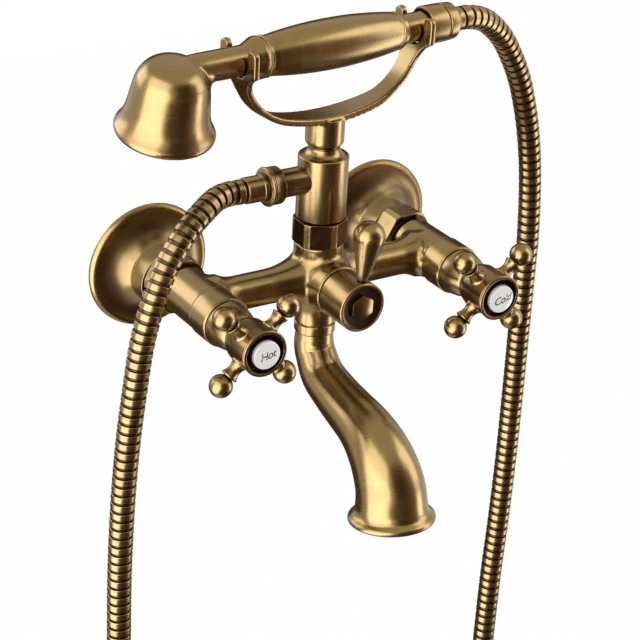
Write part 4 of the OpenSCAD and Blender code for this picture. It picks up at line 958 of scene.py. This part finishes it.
class MIXER_OT_wall_fittings(Builder, bpy.types.Operator):
    """Turns the wall rosettes and the threaded wall unions"""

    bl_idname = "mixer.wall_fittings"
    bl_label = "Wall fittings"

    def build(self):
        rosette_drop, inlet_drop, thread_pitch = 2.7, 6, 1.814
        shank = ([(7.5, -16), (9.0, -16)] + self.thread(10.4775, -15.4, -1.4, thread_pitch)
                 + rounded([(9.6, -0.8), (12, -0.5, 0.3), (12, 8, 0.4), (7.5, 8)]))
        union = ([(7.5, 4), (12.2, 4)] + self.thread(13.22, 9, 33, thread_pitch)
                 + rounded([(12.3, 33.2), (12.3, 34, 0.3), (7.5, 34)]))
        for side_name, side in SIDES.items():
            dish = with_film_and_shade(turned(self.rosette(), steps=96), self.film_and_shade)
            add_piece(side_name + "_rosette", moved(dish, on_valve(side) @ shift(y=-rosette_drop)),
                      "mixer", [side_name + "_wall_rosette"])
            bm = joined(moved(turned(shank, steps=64), shift(y=-inlet_drop)),
                        turned(union, steps=64))
            add_piece(side_name + "_union", moved(bm, on_valve(side)), "mixer",
                      [side_name + "_wall_union"], "dark_brass")

    def film_and_shade(self, radius, station):
        """Dark film in the hollow of a rosette's face: partly patina, partly painted shade."""
        share, middle, reach, face = 0.7, 24, 9, 3
        return share * max(0, 1 - abs(radius - middle) / reach) if station > face else 0

    def rosette(self):
        edge, wall, collar, climb = 3.5, 1.6, 17.0, 13.0
        r = sizes().rosette_d / MM / 2 - edge
        sweep, swing = bow(r - collar, climb - edge)
        far = -90 - swing
        outside = (arc((r, 0), edge, 0, 90, 10) + arc((r, edge + sweep), sweep, -90, far, 24)[1:]
                   + rounded([(collar, climb), (collar, 25.4, 0.9), (16.22, 25.4, 0.3),
                              (16.22, 12)])[1:])
        inside = (arc((r, edge + sweep), sweep + wall, far + 3, -90, 16)
                  + arc((r, 0), edge - wall, 90, 0, 8)[1:])
        return outside + inside

    def thread(self, radius, start, end, pitch):
        """Saw teeth along an outline."""
        teeth, z = [], start
        while z + pitch <= end:
            teeth += [(radius - 0.9, z), (radius, z + 0.45 * pitch), (radius, z + 0.6 * pitch)]
            z += pitch
        return teeth


class MIXER_OT_hexagon_nuts(Builder, bpy.types.Operator):
    """Breaks the edges of the hexagon nuts"""

    bl_idname = "mixer.hexagon_nuts"
    bl_label = "Hexagon nuts"

    def build(self):
        for name, slot, axis, corner in (
                ("hot_union_nut", "antique_brass", Vector((0, 1, 0)), 0.8),
                ("cold_union_nut", "antique_brass", Vector((0, 1, 0)), 0.8),
                ("riser_nut", "brown_brass", Vector((0, 0, 1)), 1.5)):
            bm = eased_nut(name, axis, corner * MM, 0.4 * MM)
            add_piece(name + "_eased", bm, "mixer", [name], slot, sharp=2)


class MIXER_OT_bonnets(Builder, bpy.types.Operator):
    """Turns the domed valve bonnets"""

    bl_idname = "mixer.bonnets"
    bl_label = "Valve bonnets"

    def build(self):
        ring = sizes().bonnet_d / MM / 2
        base, nose, back, step, front = ring - 1.2, 9.8, 74.0, 90.0, 105.0
        dome, swing = bow(front - step, base - nose)
        outline = (
            rounded([(12.15, back), (ring - 0.4, back, 0.2), (ring, back + 0.5, 0.3),
                     (ring, step - 1.2, 0.3), (ring - 0.5, step - 0.1, 0.5), (base, step)])
            + arc((base - dome, step), dome, 1, swing - 2, 14)
            + rounded([(nose + 0.15, front - 0.6), (nose - 0.3, front, 0.4), (8.3, front)])
            + [(8.3, 85), (12.15, 85)])
        for side_name, side in SIDES.items():
            turn_piece(side_name + "_bonnet_ring", outline, on_valve(side), "mixer",
                       side_name + "_bonnet")


class MIXER_OT_cross_handles(Builder, bpy.types.Operator):
    """Turns the hubs, arms and balls of the cross handles"""

    bl_idname = "mixer.cross_handles"
    bl_label = "Cross handles"

    def build(self):
        arm_station = 118.8
        for side_name, side in SIDES.items():
            body = side_name + "_handle"
            turn_piece(side_name + "_hub", self.hub(), on_valve(side), body,
                       side_name + "_handle_hub", "dark_brass")
            arms = joined(*[moved(turned(self.arm(), closed=False, steps=32),
                                  turn(45 + 90 * k - HANDLE_TURN[side_name], "Z") @ turn(90, "Y"))
                            for k in range(4)])
            add_piece(side_name + "_arms", moved(arms, on_valve(side) @ shift(z=arm_station)),
                      body, [side_name + "_handle_arms"])

    def hub(self):
        r, back, front = sizes().hub_d / MM / 2, 107.3, 130.0
        return (
            rounded([(3.65, back), (r - 1.2, back, 0.5), (r, back + 3.7, 1.5),
                     (r, front - 2.2, 0.2), (r - 0.35, front - 1.9, 0.15), (r - 0.3, front - 1.6)])
            + arc((r - 0.3, front - 0.8), 0.8, -80, 100, 8)
            + rounded([(r - 0.8, front - 0.05), (r - 1.4, front - 0.1, 0.3),
                       (r - 1.6, front - 0.6, 0.3), (r - 1.6, front - 6, 0.5),
                       (8.2, front - 6, 0.5), (8.2, front - 0.8)])
            + [(4.25, front - 0.8), (4.25, 125.2), (2.1, 125.2), (2.1, 122.6), (3.65, 122.6)])

    def arm(self):
        s = sizes()
        root, ball, reach = s.hub_d / MM / 2, s.ball_d / MM / 2, 27.3
        collar = reach - ball + 0.4
        flare, waist = 4.6, 3.5
        middle = (root + collar - 1.2) / 2
        hollow, swing = bow(middle - root, flare - waist)
        start = -math.degrees(math.acos(2.6 / ball))
        return (
            [(0, root - 1.2), (flare + 0.3, root - 1.2), (flare + 0.25, root + 0.1)]
            + arc((waist + hollow, middle), hollow, 180 + swing, 180 - swing, 12)[1:]
            + rounded([(flare, collar - 1.2), (flare + 0.1, collar - 0.9, 0.25),
                       (flare + 0.1, collar - 0.1, 0.4), (2.6, collar + 0.1)])
            + arc((0, reach), ball, start, 89, 18) + [(0, reach + ball)])


class MIXER_OT_index_discs(Builder, bpy.types.Operator):
    """Turns the white discs and letters them"""

    bl_idname = "mixer.index_discs"
    bl_label = "Index discs"

    words: StringProperty(name="Words", description="Words on the discs, hot and cold",
                          default="Hot Cold")

    def build(self):
        for (side_name, side), word in zip(SIDES.items(), self.words.split()):
            body = side_name + "_handle"
            turn_piece(side_name + "_disc", self.disc(), on_valve(side), body,
                       side_name + "_index_disc", "porcelain")
            letters = moved(self.letters(side_name + "_letters", word), on_valve(side))
            add_piece(side_name + "_letters", letters, body, (), "porcelain", "lettering")

    def crown(self):
        return bow(sizes().disc_d / MM / 2, 0.5)[0]

    def disc(self):
        r, seat, front = sizes().disc_d / MM / 2, 129.2, 132.2
        ball, edge = self.crown(), 1.5
        reach = math.degrees(math.asin((r - edge) / ball))
        return ([(0, seat - 0.8), (4.15, seat - 0.8), (4.15, seat)]
                + rounded([(4.15, seat), (r, seat, 0.3), (r, front - 0.5, edge),
                           (r - edge, front - 0.4)], 8)
                + arc((0, front - ball), ball, 90 - reach, 90, 10)[1:])

    def letters(self, name, word):
        """A word in raised letters that follow the disc's crown."""
        station, crown = 132.21, self.crown()
        text = bpy.data.curves.new(name, "FONT")
        text.body = word
        text.size = sizes().letter_height / MM
        text.shear, text.space_character = 0.32, 0.92
        text.align_x, text.align_y = "CENTER", "CENTER"
        text.extrude, text.offset = 0.03, 0.05
        bm = welded(moved(applied(linked(name, text)), turn(LETTER_TURN, "Z")), 1e-5)
        for v in bm.verts:
            v.co.z += station - (v.co.x ** 2 + v.co.y ** 2) / (2 * crown)
        return bm


class MIXER_OT_diverter(Builder, bpy.types.Operator):
    """Turns the diverter's sleeve, cap and lever"""

    bl_idname = "mixer.diverter"
    bl_label = "Diverter"

    def build(self):
        r = sizes().sleeve_d / MM / 2
        sleeve = rounded([
            (5.05, 85), (r - 0.2, 85, 0.2), (r, 85.4, 0.3), (r, 105.9, 0.4), (r - 0.5, 106.5, 0.3),
            (12.65, 106.5, 0.2), (12.65, 104), (5.05, 104)])
        turn_piece("diverter_barrel", sleeve, on_diverter(), "diverter", "diverter_sleeve")
        add_piece("diverter_end", moved(self.cap(), on_diverter()), "diverter", ["diverter_cap"],
                  "brown_brass", sharp=20)
        turn_piece("lever", self.lever(), on_lever(), "diverter", "diverter_lever", closed=False,
                   steps=48)

    def cap(self):
        """A dished cap with a raised hexagon whose top slopes up to its middle."""
        across_flats, rise, peak_rise, floor = 13, 2.0, 0.9, 105.0
        dish = turned(rounded([
            (0, 97), (2.5, 97), (2.5, 104), (12.6, 104, 0.2), (12.6, 106.1, 0.3),
            (11.4, 105.6, 1.0), (7.6, 105.2), (0, 105.2)]), closed=False)
        # Dark film over the dished face round the hexagon: painted shade and painted reflection,
        # with patina.
        with_film_and_shade(dish, lambda r, z: 0.9 if r < 11.8 and z > floor else 0)
        hexagon = bmesh.new()
        bmesh.ops.create_circle(hexagon, cap_ends=True, segments=6,
                                radius=across_flats / 2 / math.cos(math.pi / 6))
        top = bmesh.ops.extrude_face_region(hexagon, geom=hexagon.faces[:])["geom"]
        bmesh.ops.translate(hexagon, vec=(0, 0, rise),
                            verts=[g for g in top if isinstance(g, bmesh.types.BMVert)])
        bevelled(hexagon, hexagon.edges[:], 0.25, 2)
        lid = max(hexagon.faces, key=lambda f: f.calc_center_median().z)
        peak = bmesh.ops.poke(hexagon, faces=[lid])["verts"]
        bmesh.ops.translate(hexagon, vec=(0, 0, peak_rise), verts=peak)
        return joined(dish, moved(outward(hexagon), shift(z=floor)))

    def lever(self):
        head, foot, reach, start = sizes().lever_head_d / MM / 2, 2.8, 39.8, 14.3
        span = reach - start
        taper = math.asin(head / math.hypot(foot, span)) - math.atan2(foot, span)
        touch = (head * math.cos(taper), reach - head * math.sin(taper))
        return (rounded([(0, 10), (2, 10), (2, start - 0.1), (foot - 0.3, start, 0.1),
                         (foot, start + 0.5, 0.3), touch])
                + arc((0, reach), head, -math.degrees(taper) + 2, 89, 24) + [(0, reach + head)])


class MIXER_OT_bath_spout(Builder, bpy.types.Operator):
    """Draws the curved spout with its rolled mouth, and turns its ring nut"""

    bl_idname = "mixer.bath_spout"
    bl_label = "Bath spout"

    def build(self):
        nut = rounded([
            (8.9, 27.2), (11.2, 27.2, 0.2), (11.6, 27.7, 0.3), (11.6, 32.5, 0.5), (11.1, 33.2, 0.3),
            (8.9, 33.2)])
        turn_piece("spout_nut", nut, under_centre(), "mixer", "spout_ring_nut")
        add_piece("spout_skin", moved(self.spout(), on_centre() @ turn(SPOUT_TURN, "Z")), "spout",
                  ["spout"], sharp=50)

    def spout(self):
        top, wall, lip_start = 33.5, 2.4, 7.0
        line = curve_through([(0, y, -top - depth) for y, depth, _ in SPOUT_LINE], 6)
        radii = [p.x for p in curve_through([(r, 0, 0) for _, _, r in SPOUT_LINE], 6)]
        aim = (line[-1] - line[-4]).normalized()
        ways = headings(line)
        for k in range(1, 5):
            ways[-k] = ways[-k].lerp(aim, 1 - (k - 1) / 4).normalized()
        tube = list(zip(line, ways, radii))
        outside = [ring for ring in tube if (line[-1] - ring[0]).length > lip_start]
        lip = [(line[-1] + along * aim, aim, r)
               for along, r, _ in curve_through([(along, r, 0) for along, r in SPOUT_LIP], 3)]
        rings = [(line[0], ways[0], radii[0] - wall)] + outside + lip
        rings += [(p, w, r - wall) for p, w, r in tube[::-2]]
        bm = swept(rings, Vector((1, 0, 0)), 64)
        grain = layer(bm, "grain")
        for v in bm.verts:
            v[grain] *= MM
        outward(welded(bm, 1e-4))
        sleeve = turned(rounded([
            (7.1, 30.8), (9.0, 30.8), (9.0, 31.6), (8.6, 31.6), (8.6, 33.6), (10.2, 33.6),
            (10.2, 40.5), (7.1, 40.5)]))
        return joined(bm, moved(sleeve, turn(180, "X")))


class MIXER_OT_riser(Builder, bpy.types.Operator):
    """Turns the riser tube and the hose nipple"""

    bl_idname = "mixer.riser"
    bl_label = "Riser and hose outlet"

    def build(self):
        turn_piece("riser_column", self.riser(), on_centre(), "mixer", "riser_tube", closed=False,
                   steps=96)
        nipple = rounded([(4.5, 9), (7.8, 9), (7.8, 28.0, 0.4), (7.4, 28.3), (9.2, 28.4),
                          (9.2, 32.5), (4.5, 32.5)])
        turn_piece("hose_outlet", nipple, on_hose_outlet(), "mixer", "hose_nipple", "brown_brass")

    def riser(self):
        r, base, top, shoulder = sizes().riser_d / MM / 2, 36.6, 73.0, 5.3
        return (
            rounded([(0, 28), (10.3, 28), (10.3, base), (r - 0.5, base, 0.3), (r, base + 0.6, 0.5),
                     (r, top - 0.5, 0.4), (r - 0.6, top, 0.2), (r - 1.0, top + 0.1)])
            + arc((r, top + shoulder), shoulder, 258, 187, 10)
            + rounded([(8.2, top + shoulder - 0.4), (8.1, top + shoulder, 0.2),
                       (5, top + shoulder), (5, 81.6), (4, 81.9), (4, 84.4), (5, 84.7),
                       (5, 89.4, 0.4), (0, 89.4)]))


class MIXER_OT_cradle(Builder, bpy.types.Operator):
    """Eases the edges of the cast cradle"""

    bl_idname = "mixer.cradle"
    bl_label = "Cradle"

    def build(self):
        bm = with_grain(cast_skin(node_shell("cradle"), 0.45 * MM, 22), lambda co: co.y)
        add_piece("cradle_skin", bm, "cradle", ["cradle"], sharp=60)


class MIXER_OT_hand_shower(Builder, bpy.types.Operator):
    """Casts the hand shower's bell with its neck, and turns the grip and its fittings"""

    bl_idname = "mixer.hand_shower"
    bl_label = "Hand shower"

    def build(self):
        junction = [((-0.106, -0.095, 0.120), (-0.062, -0.040, 0.168))]
        bm = joined(moved(self.bell(), self.on_bell()), moved(self.neck(), on_handset()))
        bm = cast_skin(bm, 0.7 * MM, 5, junction, 6 * MM)
        with_grain(bm, lambda co: co.z if co.x < -0.078 else co.x)
        add_piece("handset_bell", bm, "handset", ["handset_head"], sharp=60)
        for name, outline, cad_node in (
                ("collar_ring", self.collar(), "handset_collar"),
                ("grip_barrel", self.grip(), "handset_grip"),
                ("grip_end_ring", self.end_ring(), "handset_end_ring"),
                ("tail_tube", self.tail(), "handset_tail")):
            turn_piece(name, outline, on_handset(), "handset", cad_node)

    def on_bell(self):
        return (on_centre() @ turn(HANDSET_TURN, "Z")
                @ shift(x=-97.7, z=sizes().handset_height / MM + 1.2) @ turn(BELL_TILT, "X"))

    def bell(self):
        """A solid bell with a recess for the spray plate."""
        skin = curve_through([(r, z, 0) for r, z in BELL], 4)
        mouth = rounded([(21, -37.5), (19.95, -37.4, 0.4), (19.95, -24), (0, -24)])
        return turned([(p.x, p.y) for p in skin] + mouth, closed=False, steps=96)

    def neck(self):
        return turned([(0, -93), (4.2, -92.4), (6.8, -90.4), (8.0, -87), (8.2, -83), (8.2, -50),
                       (6.9, -50), (6.9, -31), (0, -31)], closed=False, steps=64)

    def collar(self):
        return rounded([
            (7.9, -55.3), (8.3, -55.3), (8.9, -53.9, 4), (10.3, -50.7, 5), (11.5, -48.2, 3),
            (11.55, -46.6, 1.2), (10.95, -45.0, 1.0), (10.95, -44.5, 0.2), (11.4, -44.3, 0.2),
            (11.4, -43.0, 0.3), (10.9, -42.6, 0.2), (7.0, -42.5)]) + [(7.0, -50), (7.9, -50)]

    def grip(self):
        middle, ends, start, end = sizes().grip_d / MM / 2, 10.6, -42.5, 43.0
        half = (end - start) / 2
        belly, swing = bow(half, middle - ends)
        side = arc((middle - belly, start + half), belly, -swing, swing, 48)
        return [(7.0, start), (ends - 0.3, start)] + side[1:-1] + [(ends - 0.3, end), (7.0, end)]

    def end_ring(self):
        return rounded([
            (7.0, 43), (9.9, 43, 0.2), (10.6, 43.6, 0.5), (10.6, 44.5, 0.5), (9.6, 45.1, 0.2),
            (9.4, 45.4, 0.2), (9.4, 46.9, 0.4), (8.7, 47.5, 0.3), (7.0, 47.5)])

    def tail(self):
        return rounded([(4.5, 36), (6.9, 36), (6.9, 47.5), (8.2, 47.5, 0.3), (8.2, 65), (9.3, 65),
                        (9.3, 69), (4.5, 69)])


class MIXER_OT_kept_pieces(Builder, bpy.types.Operator):
    """Finishes the screws, plates and inner pieces that keep their own mesh"""

    bl_idname = "mixer.kept_pieces"
    bl_label = "Kept pieces"

    def build(self):
        for slot, names in KEPT_NODES.items():
            for name in names:
                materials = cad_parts[name].data.materials
                materials.clear()
                materials.append(finish_of(slot))


class MIXER_PT_panel(bpy.types.Panel):
    """Lists the pieces of the mixer"""

    bl_idname = "MIXER_PT_panel"
    bl_label = "Bath mixer"
    bl_space_type = "VIEW_3D"
    bl_region_type = "UI"
    bl_category = "Bath mixer"

    def draw(self, context):
        for operator in OPERATORS:
            self.layout.operator(operator.bl_idname)


GROUPS = {"mixer_sizes": MixerSizes, "mixer_finish": MixerFinish, "mixer_stage": MixerStage}
OPERATORS = [
    MIXER_OT_stage, MIXER_OT_shower_hose, MIXER_OT_body, MIXER_OT_wall_fittings,
    MIXER_OT_hexagon_nuts, MIXER_OT_bonnets, MIXER_OT_cross_handles, MIXER_OT_index_discs,
    MIXER_OT_diverter, MIXER_OT_bath_spout, MIXER_OT_riser, MIXER_OT_cradle, MIXER_OT_hand_shower,
    MIXER_OT_kept_pieces]


def register():
    for cls in list(GROUPS.values()) + OPERATORS + [MIXER_PT_panel]:
        bpy.utils.register_class(cls)
    for name, cls in GROUPS.items():
        setattr(bpy.types.Scene, name, PointerProperty(type=cls))


def unregister():
    for name in GROUPS:
        delattr(bpy.types.Scene, name)
    for cls in [MIXER_PT_panel] + OPERATORS[::-1] + list(GROUPS.values()):
        bpy.utils.unregister_class(cls)


def main():
    register()
    for operator in OPERATORS:
        getattr(bpy.ops.mixer, operator.bl_idname.split(".")[1])()


if __name__ == "__main__":
    main()
